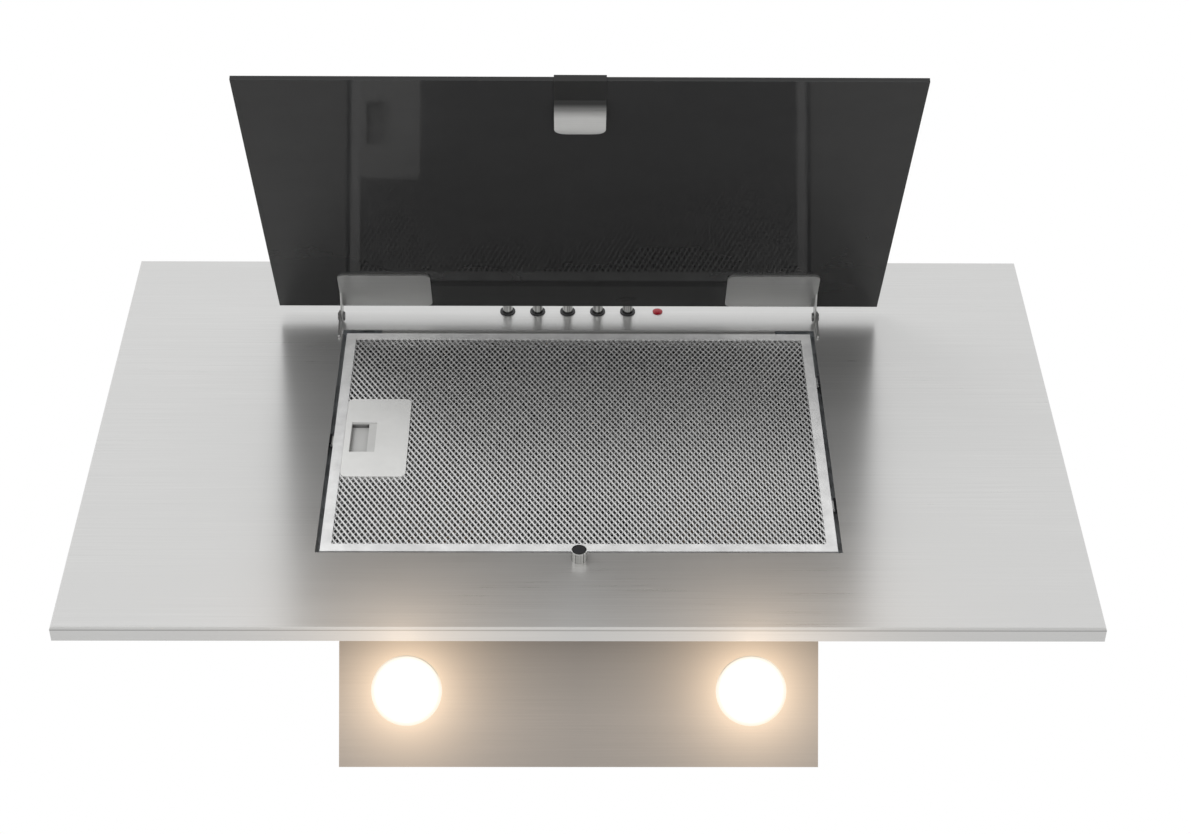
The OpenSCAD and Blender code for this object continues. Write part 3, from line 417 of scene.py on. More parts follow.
@node_group("zinc spangle", {"Per metre": 90.0}, ["Tone", "Edge"])
def zinc_spangle(group, given, out):
    """Crystal patches of hot-dip zinc."""
    place = tree_node(group, "ShaderNodeTexCoord")
    patches = tree_node(group, "ShaderNodeTexVoronoi", {"Randomness": 1.0})
    group.links.new(place.outputs["Object"], patches.inputs["Vector"])
    group.links.new(given["Per metre"], patches.inputs["Scale"])
    split = tree_node(group, "ShaderNodeSeparateColor")
    group.links.new(patches.outputs["Color"], split.inputs["Color"])
    group.links.new(split.outputs["Red"], out["Tone"])
    group.links.new(remap(group, patches.outputs["Distance"], (0.0, 0.7)), out["Edge"])


@node_group("moulded grain", {"Per metre": 1800.0}, ["Tone", "Height"])
def moulded_grain(group, given, out):
    """The fine sparkle of a moulded surface and its slow clouds."""
    size = given["Per metre"]
    grain = noise_on_object(group, (size, size, size), detail=2.0)
    slow = combine(group, "MULTIPLY", size, 0.02)
    clouds = noise_on_object(group, (slow, slow, slow), detail=3.0)
    group.links.new(remap(group, clouds, (0.3, 0.7)), out["Tone"])
    group.links.new(grain, out["Height"])


@node_group("lamp glow", {"X": 0.15, "Y": 0.0, "Z": 0.0, "Core": 0.03, "Reach": 0.05}, ["Glow"])
def lamp_glow(group, given, out):
    """Falls off round both lamps, which stand mirrored at plus and minus x."""
    place = tree_node(group, "ShaderNodeTexCoord")
    split = tree_node(group, "ShaderNodeSeparateXYZ")
    group.links.new(place.outputs["Object"], split.inputs[0])
    here = tree_node(group, "ShaderNodeCombineXYZ")
    group.links.new(combine(group, "ABSOLUTE", split.outputs["X"], 0.0), here.inputs["X"])
    group.links.new(split.outputs["Y"], here.inputs["Y"])
    group.links.new(split.outputs["Z"], here.inputs["Z"])
    lamp = tree_node(group, "ShaderNodeCombineXYZ")
    for axis in ("X", "Y", "Z"):
        group.links.new(given[axis], lamp.inputs[axis])
    away = tree_node(group, "ShaderNodeVectorMath", operation="DISTANCE")
    group.links.new(here.outputs[0], away.inputs[0])
    group.links.new(lamp.outputs[0], away.inputs[1])
    outside = combine(group, "SUBTRACT", away.outputs["Value"], given["Core"])
    share = combine(group, "DIVIDE", combine(group, "MAXIMUM", outside, 0.0), given["Reach"])
    fading = combine(group, "POWER", math.e, combine(group, "MULTIPLY", share, -1.0))
    group.links.new(fading, out["Glow"])


def place_group(tree, group, **values):
    """Places a group in a material with its own values; underscores stand for spaces."""
    made = tree.nodes.new("ShaderNodeGroup")
    made.node_tree = group
    for name, value in values.items():
        made.inputs[name.replace("_", " ")].default_value = value
    return made


def start_material(name, **values):
    """Starts a material and sets its shader's sockets; underscores stand for spaces."""
    material = bpy.data.materials.new(name)
    material.use_nodes = True
    tree = material.node_tree
    shader = next(n for n in tree.nodes if n.type == "BSDF_PRINCIPLED")
    for label, value in values.items():
        shader.inputs[label.replace("_", " ")].default_value = value
    return material, tree, shader


def feed(tree, shader, **sockets):
    """Links sockets to the shader's inputs; underscores stand for spaces."""
    for label, socket in sockets.items():
        tree.links.new(socket, shader.inputs[label.replace("_", " ")])


def mix_colour(tree, mask, low, high):
    """Colour that goes from low to high with a mask."""
    made = tree_node(tree, "ShaderNodeMix", data_type="RGBA")
    tree.links.new(mask, made.inputs["Factor"])
    for place, colour in ((MIX_LOW, low), (MIX_HIGH, high)):
        if isinstance(colour, bpy.types.NodeSocket):
            tree.links.new(colour, made.inputs[place])
        else:
            made.inputs[place].default_value = (*colour, 1.0)
    return made.outputs[MIX_RESULT]


def shade(colour, factor):
    """A colour times a factor."""
    return tuple(min(1.0, part * factor) for part in colour)


def toned(tree, mask, colour, low, high):
    """Colour that goes from low times itself to high times itself with a mask."""
    return mix_colour(tree, mask, shade(colour, low), shade(colour, high))


def edges_worn_and_highlighted(tree, finish, worn_and_lit_colour, radius, strength, share=1.0):
    """A finish with its edges turned to another colour: partly rubbed wear, partly a painted highlight along
    the edges.
    """
    edges = place_group(tree, edge_mask_worn_and_lit(), Radius=radius, Strength=strength)
    return mix_colour(tree, combine(tree, "MULTIPLY", edges.outputs["Mask"], share), finish, worn_and_lit_colour)


def bump(tree, shader, height, strength, distance):
    """Feeds a height into the shader's normal."""
    made = tree_node(tree, "ShaderNodeBump", {"Strength": strength, "Distance": distance})
    tree.links.new(height, made.inputs["Height"])
    tree.links.new(made.outputs["Normal"], shader.inputs["Normal"])


def brush_along_x(tree, shader):
    """Stretches the shader's gloss across the brushing."""
    surface = tree_node(tree, "ShaderNodeNewGeometry")
    across = tree_node(tree, "ShaderNodeVectorMath", operation="CROSS_PRODUCT")
    across.inputs[1].default_value = BRUSHED
    tree.links.new(surface.outputs["Normal"], across.inputs[0])
    unit = tree_node(tree, "ShaderNodeVectorMath", operation="NORMALIZE")
    tree.links.new(across.outputs[0], unit.inputs[0])
    tree.links.new(unit.outputs[0], shader.inputs["Tangent"])


def glow_round(place, core, reach, colour, strength):
    """The lamps' glow on a sheet: its middle, from where and how fast it fades, its colour and strength."""
    where = {"X": place[0], "Y": place[1], "Z": place[2], "Core": core, "Reach": reach}
    return {"where": where, "colour": tuple(colour), "strength": strength}


def brushed_steel(name, colour, roughness, anisotropy, metallic=1.0, glow=None, painted_shade=None):
    """Stainless sheet brushed along x, with the lamps' painted glow and painted shade where asked for."""
    material, tree, shader = start_material(name, Metallic=metallic, Anisotropic=anisotropy)
    grain = place_group(tree, brushed_grain(), Along=7.0, Across=620.0)
    marks = place_group(tree, soft_marks(), Per_metre=5.0, Stretch=2.0)
    lined = toned(tree, grain.outputs["Tone"], colour, low=0.95, high=1.05)
    clouded = mix_colour(tree, marks.outputs["Mask"], lined, colour)
    finish = edges_worn_and_highlighted(tree, clouded, shade(colour, 1.3), radius=0.0009, strength=4.0, share=0.5)
    # Painted shade darkens the sheet towards half its colour where the mask says
    if painted_shade:
        finish = mix_colour(tree, painted_shade(tree), finish, shade(colour, 0.5))
    scratched = spread(tree, grain.outputs["Tone"], roughness - 0.02, roughness + 0.02)
    smeared = spread(tree, marks.outputs["Mask"], 0.0, 0.025)
    feed(tree, shader, Base_Color=finish, Roughness=combine(tree, "ADD", scratched, smeared))
    brush_along_x(tree, shader)
    bump(tree, shader, grain.outputs["Height"], strength=0.02, distance=0.00003)
    if glow:
        mask = place_group(tree, lamp_glow(), **glow["where"])
        feed(tree, shader, Emission_Color=mix_colour(tree, mask.outputs["Glow"], UNLIT, glow["colour"]))
        shader.inputs["Emission Strength"].default_value = glow["strength"]
    return material


def handle_steel(name, colour, blacken):
    """Polished steel of the handle strip, black where the mask says, with painted shade where the black fades
    over its bend.
    """
    material, tree, shader = start_material(name, Anisotropic=0.2)
    grain = place_group(tree, brushed_grain(), Along=30.0, Across=900.0)
    lined = toned(tree, grain.outputs["Tone"], colour, low=0.95, high=1.03)
    bright = edges_worn_and_highlighted(tree, lined, shade(colour, 1.1), radius=0.0006, strength=3.0, share=0.4)
    blackened = blacken(tree)
    polish = spread(tree, grain.outputs["Tone"], 0.05, 0.09)
    duller = spread(tree, blackened, 0.0, 0.25)
    feed(tree, shader, Base_Color=mix_colour(tree, blackened, bright, HANDLE_BLACK))
    feed(tree, shader, Metallic=spread(tree, blackened, 0.4, 0.0))
    feed(tree, shader, Roughness=combine(tree, "ADD", polish, duller))
    bump(tree, shader, grain.outputs["Height"], strength=0.03, distance=0.00002)
    return material


def galvanised(name, colour):
    """Galvanised sheet with its spangle."""
    material, tree, shader = start_material(name, Metallic=0.9)
    spangle = place_group(tree, zinc_spangle(), Per_metre=85.0)
    marks = place_group(tree, soft_marks(), Per_metre=14.0, Stretch=1.0)
    patches = toned(tree, spangle.outputs["Tone"], colour, low=0.8, high=1.12)
    dull = spread(tree, marks.outputs["Mask"], 0.0, 0.4)
    feed(tree, shader, Base_Color=mix_colour(tree, dull, patches, shade(colour, 0.85)))
    feed(tree, shader, Roughness=spread(tree, spangle.outputs["Tone"], 0.34, 0.52))
    bump(tree, shader, spangle.outputs["Edge"], strength=0.1, distance=0.0001)
    return material


def moulded(name, colour, roughness, grain_per_metre, depth, recess_shade_reach=None):
    """Moulded plastic with a fine grain, and painted shade in its recesses where asked for."""
    material, tree, shader = start_material(name, Metallic=0.0)
    grain = place_group(tree, moulded_grain(), Per_metre=grain_per_metre)
    clouded = toned(tree, grain.outputs["Tone"], colour, low=0.97, high=1.03)
    if recess_shade_reach:
        shade_in_recess = place_group(tree, recess_shade(), Reach=recess_shade_reach)
        clouded = mix_colour(tree, shade_in_recess.outputs["Mask"], clouded, shade(colour, 0.1))
    finish = edges_worn_and_highlighted(tree, clouded, shade(colour, 1.3), radius=0.0008, strength=3.0, share=0.35)
    rough = spread(tree, grain.outputs["Tone"], roughness - 0.03, roughness + 0.04)
    feed(tree, shader, Base_Color=finish, Roughness=rough)
    bump(tree, shader, grain.outputs["Height"], strength=0.25, distance=depth)
    return material


def drawn_metal(name, colour, roughness, marks_per_metre, metallic=1.0):
    """Turned, drawn or rolled bare metal; an etched or anodised one is less metallic."""
    material, tree, shader = start_material(name, Metallic=metallic)
    grain = place_group(tree, brushed_grain(), Along=marks_per_metre, Across=marks_per_metre)
    lined = toned(tree, grain.outputs["Tone"], colour, low=0.9, high=1.08)
    finish = edges_worn_and_highlighted(tree, lined, shade(colour, 1.25), radius=0.0005, strength=4.0, share=0.5)
    rough = spread(tree, grain.outputs["Tone"], roughness - 0.03, roughness + 0.05)
    feed(tree, shader, Base_Color=finish, Roughness=rough)
    bump(tree, shader, grain.outputs["Height"], strength=0.08, distance=0.00003)
    return material


def turned_chrome(name, colour):
    """Polished round stock with stripes along it, square to the plate: drawing marks, strong enough to stand
    as painted reflections.
    """
    material, tree, shader = start_material(name, Metallic=1.0)
    place = tree_node(tree, "ShaderNodeTexCoord")
    split = tree_node(tree, "ShaderNodeSeparateXYZ")
    tree.links.new(place.outputs["Object"], split.inputs[0])
    flat = tree_node(tree, "ShaderNodeCombineXYZ")
    tree.links.new(split.outputs["X"], flat.inputs["X"])
    tree.links.new(distance_along(tree, SLOPE_UP), flat.inputs["Y"])
    noise = tree_node(tree, "ShaderNodeTexNoise", {"Scale": 520.0, "Detail": 2.0, "Roughness": 0.5})
    tree.links.new(flat.outputs[0], noise.inputs["Vector"])
    streaks = noise.outputs["Fac"]
    # Stripes from dark to light along the stock: drawing marks and painted reflections
    marks_and_reflections = toned(tree, remap(tree, streaks, (0.38, 0.62)), colour, low=0.42, high=1.25)
    finish = edges_worn_and_highlighted(tree, marks_and_reflections, shade(colour, 1.3), radius=0.0004, strength=4.0, share=0.5)
    feed(tree, shader, Base_Color=finish, Roughness=remap(tree, streaks, (0.3, 0.7), (0.1, 0.18)))
    bump(tree, shader, streaks, strength=0.1, distance=0.0001)
    return material


def black_glass(name, colour):
    """Polished glass over a black coat, with faint wiping marks."""
    material, tree, shader = start_material(name, Metallic=0.0, IOR=1.4)
    marks = place_group(tree, soft_marks(), Per_metre=7.0, Stretch=1.6)
    coat = toned(tree, marks.outputs["Mask"], colour, low=0.97, high=1.08)
    finish = edges_worn_and_highlighted(tree, coat, GLASS_EDGE, radius=0.0012, strength=3.0)
    feed(tree, shader, Base_Color=finish, Roughness=spread(tree, marks.outputs["Mask"], 0.06, 0.09))
    return material


def painted_case(name, colour):
    """Dark paint on a pressed case, a little orange-peeled."""
    material, tree, shader = start_material(name, Metallic=0.0)
    peel = place_group(tree, moulded_grain(), Per_metre=420.0)
    finish = toned(tree, peel.outputs["Tone"], colour, low=0.85, high=1.15)
    feed(tree, shader, Base_Color=finish, Roughness=spread(tree, peel.outputs["Tone"], 0.38, 0.5))
    bump(tree, shader, peel.outputs["Height"], strength=0.2, distance=0.0002)
    return material


def clear_lens(name, colour, strength):
    """Coloured clear plastic, lit from inside by a small lamp."""
    material, tree, shader = start_material(name, Metallic=0.0, IOR=1.49, Roughness=0.08)
    grain = place_group(tree, moulded_grain(), Per_metre=900.0)
    # The glow turns a lighter red where the lens is seen edge-on: a painted rim sheen over the lamp's own
    # light
    facing = tree_node(tree, "ShaderNodeLayerWeight", {"Blend": 0.35})
    lit = mix_colour(tree, facing.outputs["Facing"], colour, PILOT_RIM_SHEEN)
    finish = toned(tree, grain.outputs["Tone"], colour, low=0.8, high=1.3)
    feed(tree, shader, Base_Color=finish, Emission_Color=lit)
    shader.inputs["Emission Strength"].default_value = strength
    return material


def lit_lens(name, light, strength):
    """Frosted lens of a lamp that is switched on."""
    material, tree, shader = start_material(name, Metallic=0.0, IOR=1.5)
    frost = place_group(tree, moulded_grain(), Per_metre=1400.0)
    feed(tree, shader, Base_Color=mix_colour(tree, frost.outputs["Tone"], *LENS_FROST))
    feed(tree, shader, Roughness=remap(tree, frost.outputs["Height"], (0.3, 0.7), (0.25, 0.4)))
    feed(tree, shader, Emission_Color=toned(tree, frost.outputs["Height"], light, low=1.0, high=1.1))
    shader.inputs["Emission Strength"].default_value = strength
    bump(tree, shader, frost.outputs["Height"], strength=0.2, distance=0.0001)
    return material


def dress(names, material):
    """Gives CAD nodes a material in every slot."""
    for name in names:
        mesh = frame["nodes"][name].data
        if not mesh.materials:
            mesh.materials.append(material)
        for i in range(len(mesh.materials)):
            mesh.materials[i] = material


def on_plate_box(name):
    """Lowest and highest x, v and w of a node in the plate frame."""
    back = PLATE.inverted()
    corners = [back @ v.co for v in frame["nodes"][name].data.vertices]
    return [min(c[i] for c in corners) for i in range(3)], [max(c[i] for c in corners) for i in range(3)]


def lens_face(name):
    """Middle of a lamp lens on its lower face, and its radius."""
    low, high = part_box(name)
    return ((low.x + high.x) / 2, (low.y + high.y) / 2, low.z), (high.x - low.x) / 2


def panel_run():
    """Direction along the panel and the place of its free edge on it."""
    corners = [v.co for v in frame["nodes"]["glass_panel"].data.vertices]
    corners.sort(key=lambda corner: (corner - HINGE).yz.length)
    half = len(corners) // 2
    near = sum(corners[:half], Vector()) / half
    far = sum(corners[half:], Vector()) / (len(corners) - half)
    outward = (far - near).normalized()
    return outward, max(outward.dot(corner) for corner in corners)


def new_piece(name, mesh, material, body, replaced=None):
    """Makes a piece of a mesh, with its material, body, slot and replaced node."""
    piece = bpy.data.objects.new(name, mesh)
    bpy.context.scene.collection.objects.link(piece)
    mesh.materials.clear()
    mesh.materials.append(material)
    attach(piece, body)
    if replaced:
        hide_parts(replaced)
    return piece


def lattice_openings(low, high, pitch, kept_out):
    """Places of the diamond openings, as column and row numbers, between two corners."""
    columns = int((high[0] - low[0]) / pitch[0]) + 1
    rows = int((high[1] - low[1]) / (pitch[1] / 2)) + 1
    places = {}
    for row in range(rows):
        for column in range(columns):
            x = low[0] + (column + (row % 2) / 2) * pitch[0]
            v = low[1] + row * pitch[1] / 2
            inside = kept_out[0] < x < kept_out[1] and kept_out[2] < v < kept_out[3]
            if x <= high[0] and v <= high[1] and not inside:
                places[(2 * column + row % 2, row)] = (x, v)
    return places


def expanded_sheet(name, low, high, w, pitch, width, rise, kept_out):
    """Mesh of expanded metal: each opening gives four corners, and strands and bonds join them."""
    shrink = width * math.hypot(*pitch) / (pitch[0] * pitch[1])
    half_x = pitch[0] / 2 * (1 - shrink)
    half_v = pitch[1] / 2 * (1 - shrink)
    made = bmesh.new()
    corners = {}
    for key, (x, v) in lattice_openings(low, high, pitch, kept_out).items():
        corners[key] = {
            "left": made.verts.new(PLATE @ Vector((x - half_x, v, w + rise))),
            "right": made.verts.new(PLATE @ Vector((x + half_x, v, w - rise))),
            "high": made.verts.new(PLATE @ Vector((x, v + half_v, w))),
            "low": made.verts.new(PLATE @ Vector((x, v - half_v, w))),
        }
    for (column, row), here in corners.items():
        right_up = corners.get((column + 1, row + 1))
        left_up = corners.get((column - 1, row + 1))
        above = corners.get((column, row + 2))
        if right_up:
            made.faces.new((here["right"], right_up["low"], right_up["left"], here["high"]))
        if left_up:
            made.faces.new((here["left"], here["high"], left_up["right"], left_up["low"]))
        if right_up and left_up and above:
            made.faces.new((here["high"], right_up["left"], above["low"], left_up["right"]))
    for vert in [v for v in made.verts if not v.link_faces]:
        made.verts.remove(vert)
    mesh = bpy.data.meshes.new(name)
    made.to_mesh(mesh)
    made.free()
    return mesh


class HOOD_OT_sheet_metal(bpy.types.Operator):
    """Finish the front plate, the body and the hinges in brushed steel and the inside in zinc"""

    bl_idname = "hood.sheet_metal"
    bl_label = "Sheet metal"

    def execute(self, context):
        colours = context.scene.hood_colours
        lens, radius = lens_face("lamp_lens_right")
        plate_low, plate_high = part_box("front_plate")
        over_lamps = (lens[0], plate_high.y, plate_low.z)
        dress(PLATE_STEEL, brushed_steel(
            "plate steel", colours.steel, roughness=0.29, anisotropy=0.65, metallic=0.78,
            glow=glow_round(over_lamps, core=0.01, reach=0.055, colour=colours.lamp, strength=0.3),
            painted_shade=self.fold_line_shade,
        ))
        dress(BODY_STEEL, brushed_steel(
            "body steel", colours.steel, roughness=0.32, anisotropy=0.5, metallic=0.85,
        ))
        dress(HINGE_STEEL, brushed_steel(
            "hinge steel", shade(colours.steel, 0.97), roughness=0.33, anisotropy=0.3,
        ))
        # The underside's darker, warmer colour is painted shade and painted warm lamplight
        dress(["lamp_panel"], brushed_steel(
            "underside steel", colours.underside_shaded_lamplit, roughness=0.36, anisotropy=0.4,
            glow=glow_round(lens, core=radius, reach=0.03, colour=colours.lamp, strength=0.75),
            painted_shade=self.sheltered_underside_shade,
        ))
        dress(ZINC, galvanised("galvanised sheet", colours.zinc))
        return {"FINISHED"}

    def fold_line_shade(self, tree):
        """Painted shade: a dark line where the lip is folded out of the plate, and the slightly darker lip
        past it.
        """
        face = HINGE.dot(SLOPE_OUT) + on_plate_box("front_plate")[1][2]
        depth = combine(tree, "SUBTRACT", face, distance_along(tree, SLOPE_OUT))
        line = band(tree, depth, FOLD_LINE_DEPTH, FOLD_LINE_SOFT)
        return combine(tree, "MAXIMUM", line, remap(tree, depth, LIP_DEPTH, (0.0, LIP_SHADE)))

    def sheltered_underside_shade(self, tree):
        """Painted shade on the underside, darkest where the plate shelters it."""
        low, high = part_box("lamp_panel")
        reach = (low.y, low.y + (high.y - low.y) * SHELTER_SHADE_REACH)
        return remap(tree, distance_along(tree, (0, 1, 0)), reach, (SHELTER_SHADE_STRENGTH, 0.0))


class HOOD_OT_glass_panel(bpy.types.Operator):
    """Finish the hinged glass panel and its handle strip"""

    bl_idname = "hood.glass_panel"
    bl_label = "Glass panel"

    def execute(self, context):
        colours = context.scene.hood_colours
        dress(["glass_panel"], black_glass("black glass", colours.glass))
        dress(["panel_handle"], handle_steel("handle steel", HANDLE_STEEL, self.black_and_bend_shade))
        return {"FINISHED"}

    def black_and_bend_shade(self, tree):
        """Mask of the black on the flat part of the handle strip, which fades over its bend as painted shade.
        """
        outward, free_edge = panel_run()
        fade = (free_edge - HANDLE_BLACK_END, free_edge - HANDLE_BLACK_FULL)
        return remap(tree, distance_along(tree, outward), fade)


class HOOD_OT_filter(bpy.types.Operator):
    """Make the filter's meshes of expanded aluminium and finish its frame and latch"""

    bl_idname = "hood.filter"
    bl_label = "Grease filter"

    def execute(self, context):
        sizes, colours = context.scene.hood_sizes, context.scene.hood_colours
        foil = drawn_metal(
            "expanded aluminium", shade(colours.aluminium, 1.1),
            roughness=0.3, marks_per_metre=160.0, metallic=0.6,
        )
        # The pad and the back mesh are a dark copy of the filter aluminium: painted shade inside the filter,
        # seen through the openings
        pad = drawn_metal(
            "pad aluminium shaded", shade(colours.aluminium, 0.28),
            roughness=0.5, marks_per_metre=120.0, metallic=0.55,
        )
        folded = drawn_metal(
            "folded aluminium", shade(colours.aluminium, 1.3),
            roughness=0.5, marks_per_metre=60.0, metallic=0.35,
        )
        dress(["filter_frame", "filter_catches"], folded)
        self.outer_mesh("front_expanded_mesh", "filter_mesh", sizes, 1.0, 1.0, foil)
        self.outer_mesh("back_expanded_mesh", "filter_back_mesh", sizes, BACK_COARSE, -1.0, pad)
        self.pad(sizes, pad)
        self.latch(colours)
        clips = drawn_metal("blued clips", BLUED_STEEL, roughness=0.4, marks_per_metre=300.0)
        dress(["keeper_clip_left", "keeper_clips_right"], clips)
        return {"FINISHED"}

    def outer_mesh(self, name, node, sizes, coarse, lean, metal):
        """The sheet of expanded metal that stands for a node, so many times as coarse as the front one."""
        low, high = on_plate_box(node)
        pitch = (sizes.mesh_pitch_x * coarse, sizes.mesh_pitch_v * coarse)
        rise = sizes.strand_rise * lean
        self.layer(name, (low[2] + high[2]) / 2, pitch, sizes.strand_width * coarse, rise, metal, node)

    def pad(self, sizes, metal):
        """The coarse foils between the two outer sheets, their openings the other way round."""
        front = on_plate_box("filter_mesh")[0][2]
        back = on_plate_box("filter_back_mesh")[1][2]
        for i in range(sizes.pad_layers):
            w = front + (back - front) * (i + 1) / (sizes.pad_layers + 1)
            coarse = PAD_COARSE + PAD_COARSE_STEP * i
            pitch = (sizes.mesh_pitch_v * coarse, sizes.mesh_pitch_x * coarse)
            rise = sizes.strand_rise * (-1) ** i
            self.layer(f"filter_pad_{i + 1}", w, pitch, sizes.strand_width * PAD_STRAND, rise, metal)

    def layer(self, name, w, pitch, width, rise, metal, replaced=None):
        """One sheet of expanded foil over the whole filter, left out where the latch stands."""
        frame_low, frame_high = on_plate_box("filter_frame")
        latch_low, latch_high = on_plate_box("filter_latch_plate")
        half_x, half_v = pitch[0] / 2, pitch[1] / 2
        low = (frame_low[0] + FRAME_WALL + half_x, frame_low[1] + FRAME_WALL + half_v)
        high = (frame_high[0] - FRAME_WALL - half_x, frame_high[1] - FRAME_WALL - half_v)
        across = (latch_low[0] - PAST_LATCH, latch_high[0] - half_x)
        kept_out = (*across, latch_low[1] + half_v, latch_high[1] - half_v)
        mesh = expanded_sheet(name, low, high, w, pitch, width, rise, kept_out)
        piece = new_piece(name, mesh, metal, "filter", replaced)
        foil = piece.modifiers.new("foil", "SOLIDIFY")
        foil.thickness = bpy.context.scene.hood_sizes.foil_thickness
        foil.offset = 0.0

    def latch(self, colours):
        """The latch plate, its slide with the finger cup, and its spring."""
        plate = moulded("latch plastic", colours.latch, roughness=0.42, grain_per_metre=2200.0, depth=0.00002)
        # The slide is the latch plastic darkened as painted shade in its window, with more painted shade in
        # its corners
        slide = moulded(
            "slide plastic shaded", shade(colours.latch, 0.8),
            roughness=0.42, grain_per_metre=2200.0, depth=0.00002, recess_shade_reach=0.012,
        )
        dress(["filter_latch_plate"], plate)
        dress(["latch_slide"], slide)
        self.spring(drawn_metal("spring steel", SPRING_STEEL, roughness=0.25, marks_per_metre=300.0))

    def spring(self, metal):
        """The latch's coil spring, a copy of its CAD mesh on the filter's body."""
        mesh = frame["nodes"]["latch_spring"].data.copy()
        coil = new_piece("latch_coil", mesh, metal, "filter", "latch_spring")
        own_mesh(coil)


class HOOD_OT_controls(bpy.types.Operator):
    """Finish the push buttons, the pilot lens, the magnet post and the hinge pins"""

    bl_idname = "hood.controls"
    bl_label = "Controls and magnet"

    def execute(self, context):
        colours = context.scene.hood_colours
        turned = drawn_metal("turned steel", TURNED_STEEL, roughness=0.12, marks_per_metre=500.0)
        greased = drawn_metal("greased pins", GREASED_STEEL, roughness=0.25, marks_per_metre=500.0)
        plated = drawn_metal("plated screws", PLATED_STEEL, roughness=0.3, marks_per_metre=700.0)
        ferrite = moulded("ferrite", FERRITE, roughness=0.6, grain_per_metre=3000.0, depth=0.00003)
        dress(["motor_shaft", "flap_pin"], turned)
        dress(HINGE_PINS, greased)
        dress(BUTTONS + ["magnet_post"], turned_chrome("drawn chrome", TURNED_STEEL))
        dress(["pilot_lens"], clear_lens("pilot red", colours.pilot, strength=0.08))
        dress(["magnet_disc"], ferrite)
        dress(["arm_screws", "collar_screws"], plated)
        return {"FINISHED"}


class HOOD_OT_lamps(bpy.types.Operator):
    """Finish both lamps and light them"""

    bl_idname = "hood.lamps"
    bl_label = "Lamps"

    def execute(self, context):
        place, radius = lens_face("lamp_lens_right")
        halo = glow_round(place, core=radius, reach=0.006, colour=LENS_HALO, strength=1.0)
        finishes = {
            "lamp_lens": lit_lens("lit frosted lens", LENS_LIGHT, strength=1.5),
            "lamp_bezel": brushed_steel("bezel steel", BEZEL_STEEL, roughness=0.3, anisotropy=0.0, glow=halo),
            "lamp_reflector": drawn_metal("plated bowl", BOWL_PLATING, roughness=0.1, marks_per_metre=90.0),
            "lamp_bulb": moulded(
                "bulb ceramic", BULB_CERAMIC, roughness=0.3, grain_per_metre=900.0, depth=0.00003),
        }
        for side in ("left", "right"):
            for piece, finish in finishes.items():
                dress([f"{piece}_{side}"], finish)
            self.light(context, side)
        return {"FINISHED"}

    def light(self, context, side):
        """The light that one lamp throws down, unseen itself."""
        light = bpy.data.lights.new(f"lamp light {side}", "POINT")
        light.energy = context.scene.hood_studio.lamp_power
        light.color = context.scene.hood_colours.lamp
        light.shadow_soft_size = LAMP_LIGHT_RADIUS
        lamp = bpy.data.objects.new(f"lamp light {side}", light)
        x, y, z = lens_face(f"lamp_lens_{side}")[0]
        lamp.location = (x, y, z - LAMP_LIGHT_DROP)
        lamp.visible_camera = False
        lamp.visible_glossy = False
        context.scene.collection.objects.link(lamp)


class HOOD_OT_blower(bpy.types.Operator):
    """Finish the blower, the outlet and the electrics inside the body"""

    bl_idname = "hood.blower"
    bl_label = "Blower and outlet"

    def execute(self, context):
        black = context.scene.hood_colours.plastic
        dress(BLACK_PLASTIC, moulded(
            "black plastic", black, roughness=0.45, grain_per_metre=1600.0, depth=0.00004))
        dress(["blower_motor"], painted_case("motor paint", MOTOR_PAINT))
        dress(["motor_capacitor"], moulded(
            "capacitor can", CAPACITOR_CAN, roughness=0.25, grain_per_metre=500.0, depth=0.00002))
        return {"FINISHED"}


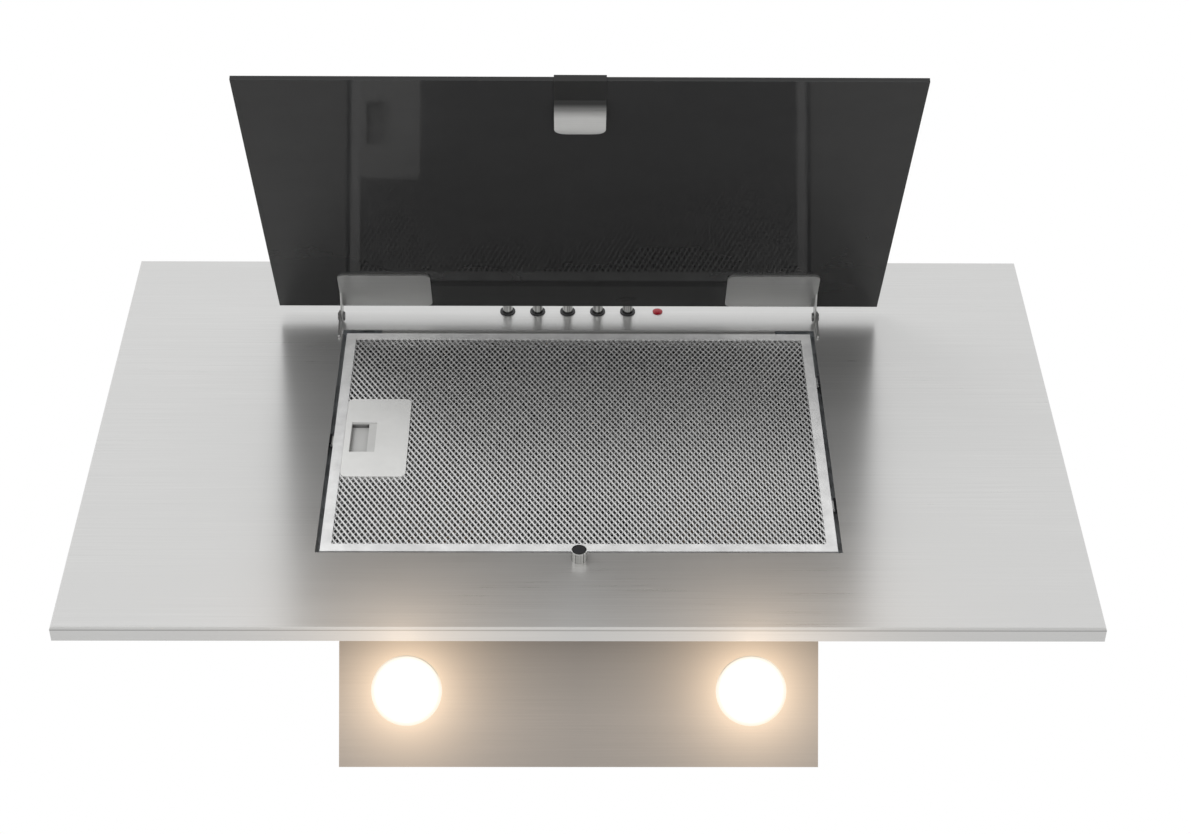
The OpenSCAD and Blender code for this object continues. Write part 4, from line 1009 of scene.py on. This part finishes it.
class HOOD_OT_studio(bpy.types.Operator):
    """Set the floor, the lights, the background and the camera"""

    bl_idname = "hood.studio"
    bl_label = "Studio"

    def execute(self, context):
        studio = context.scene.hood_studio
        context.scene.view_settings.view_transform = "Standard"
        self.floor(context, studio)
        self.background(context, studio)
        self.key_light(context, studio)
        self.camera(context)
        return {"FINISHED"}

    def floor(self, context, studio):
        """A wide pale floor below the hood."""
        made = bmesh.new()
        bmesh.ops.create_grid(made, x_segments=8, y_segments=8, size=studio.floor_size / 2)
        mesh = bpy.data.meshes.new("floor")
        made.to_mesh(mesh)
        made.free()
        mesh.materials.append(self.floor_finish(studio.floor_colour))
        floor = bpy.data.objects.new("floor", mesh)
        floor.location = (0, 0, -studio.floor_drop)
        context.scene.collection.objects.link(floor)

    def floor_finish(self, colour):
        """Pale paint with faint clouds, which lets the camera through from below."""
        material, tree, shader = start_material("pale floor", Metallic=0.0)
        marks = place_group(tree, soft_marks(), Per_metre=1.5, Stretch=1.0)
        tone = toned(tree, marks.outputs["Mask"], colour, low=0.98, high=1.0)
        feed(tree, shader, Base_Color=tone, Roughness=spread(tree, marks.outputs["Mask"], 0.6, 0.7))
        under = tree_node(tree, "ShaderNodeNewGeometry").outputs["Backfacing"]
        seen = tree_node(tree, "ShaderNodeLightPath").outputs["Is Camera Ray"]
        clear = tree_node(tree, "ShaderNodeBsdfTransparent")
        open_below = tree_node(tree, "ShaderNodeMixShader")
        surface = next(n for n in tree.nodes if n.type == "OUTPUT_MATERIAL")
        tree.links.new(combine(tree, "MULTIPLY", under, seen), open_below.inputs["Fac"])
        tree.links.new(shader.outputs[0], open_below.inputs[1])
        tree.links.new(clear.outputs[0], open_below.inputs[2])
        tree.links.new(open_below.outputs[0], surface.inputs["Surface"])
        return material

    def background(self, context, studio):
        """White to the camera, in metal and through glass; an even room light otherwise."""
        world = bpy.data.worlds.new("studio")
        context.scene.world = world
        world.use_nodes = True
        tree = world.node_tree
        tree.nodes.clear()
        path = tree_node(tree, "ShaderNodeLightPath").outputs
        mirrored = combine(tree, "MAXIMUM", path["Is Glossy Ray"], path["Is Transmission Ray"])
        seen = combine(tree, "MAXIMUM", path["Is Camera Ray"], mirrored)
        white = tree_node(tree, "ShaderNodeBackground", {"Color": WHITE, "Strength": 1.0})
        room = tree_node(tree, "ShaderNodeBackground", {"Color": WHITE, "Strength": studio.ambient})
        mix = tree_node(tree, "ShaderNodeMixShader")
        out = tree_node(tree, "ShaderNodeOutputWorld")
        tree.links.new(seen, mix.inputs["Fac"])
        tree.links.new(room.outputs[0], mix.inputs[1])
        tree.links.new(white.outputs[0], mix.inputs[2])
        tree.links.new(mix.outputs[0], out.inputs["Surface"])

    def key_light(self, context, studio):
        """A square soft light at the left, aimed at the middle of the hood."""
        light = bpy.data.lights.new("key light", "AREA")
        light.energy = studio.key_power
        light.size = KEY_LIGHT_SIZE
        lamp = bpy.data.objects.new("key light", light)
        lamp.location = KEY_LIGHT_PLACE
        lamp.visible_glossy = False
        middle = (Vector(CAD_BOX[0]) + Vector(CAD_BOX[1])) / 2
        lamp.rotation_euler = (middle - lamp.location).to_track_quat("-Z", "Y").to_euler()
        context.scene.collection.objects.link(lamp)

    def camera(self, context):
        """The photograph's camera: below the hood, looking up, its foot towards the wall."""
        data = bpy.data.cameras.new("photograph")
        data.sensor_width = SENSOR_WIDTH_MM
        data.lens = SENSOR_WIDTH_MM * CAMERA_FOCAL_PX / IMAGE_WIDTH_PX
        data.clip_end = CAMERA_REACH
        camera = bpy.data.objects.new("photograph", data)
        turn = Matrix.Rotation(CAMERA_YAW, 3, "Y")
        roll = Matrix.Rotation(CAMERA_ROLL, 3, "Z")
        look = turn @ roll @ LOOK_UP
        camera.matrix_world = Matrix.Translation(CAMERA_PLACE) @ look.to_4x4()
        context.scene.collection.objects.link(camera)
        context.scene.camera = camera


class HOOD_PT_sidebar(bpy.types.Panel):
    """Shows the range hood's sizes, colours and studio settings, and a button for each step"""

    bl_idname = "HOOD_PT_sidebar"
    bl_label = "Range hood"
    bl_space_type = "VIEW_3D"
    bl_region_type = "UI"
    bl_category = "Range hood"

    def draw(self, context):
        for group in (context.scene.hood_sizes, context.scene.hood_colours, context.scene.hood_studio):
            box = self.layout.box()
            for name in group.__annotations__:
                box.prop(group, name)
        for operator in OPERATORS:
            self.layout.operator(operator.bl_idname)


OPERATORS = (
    HOOD_OT_sheet_metal, HOOD_OT_glass_panel, HOOD_OT_filter, HOOD_OT_controls,
    HOOD_OT_lamps, HOOD_OT_blower, HOOD_OT_studio,
)
CLASSES = (HoodSizes, HoodColours, HoodStudio, *OPERATORS, HOOD_PT_sidebar)


def register():
    for made in CLASSES:
        bpy.utils.register_class(made)
    bpy.types.Scene.hood_sizes = PointerProperty(type=HoodSizes)
    bpy.types.Scene.hood_colours = PointerProperty(type=HoodColours)
    bpy.types.Scene.hood_studio = PointerProperty(type=HoodStudio)


def unregister():
    del bpy.types.Scene.hood_sizes
    del bpy.types.Scene.hood_colours
    del bpy.types.Scene.hood_studio
    for made in reversed(CLASSES):
        bpy.utils.unregister_class(made)


def main():
    register()
    bpy.ops.hood.sheet_metal()
    bpy.ops.hood.glass_panel()
    bpy.ops.hood.filter()
    bpy.ops.hood.controls()
    bpy.ops.hood.lamps()
    bpy.ops.hood.blower()
    bpy.ops.hood.studio()


if __name__ == "__main__":
    main()
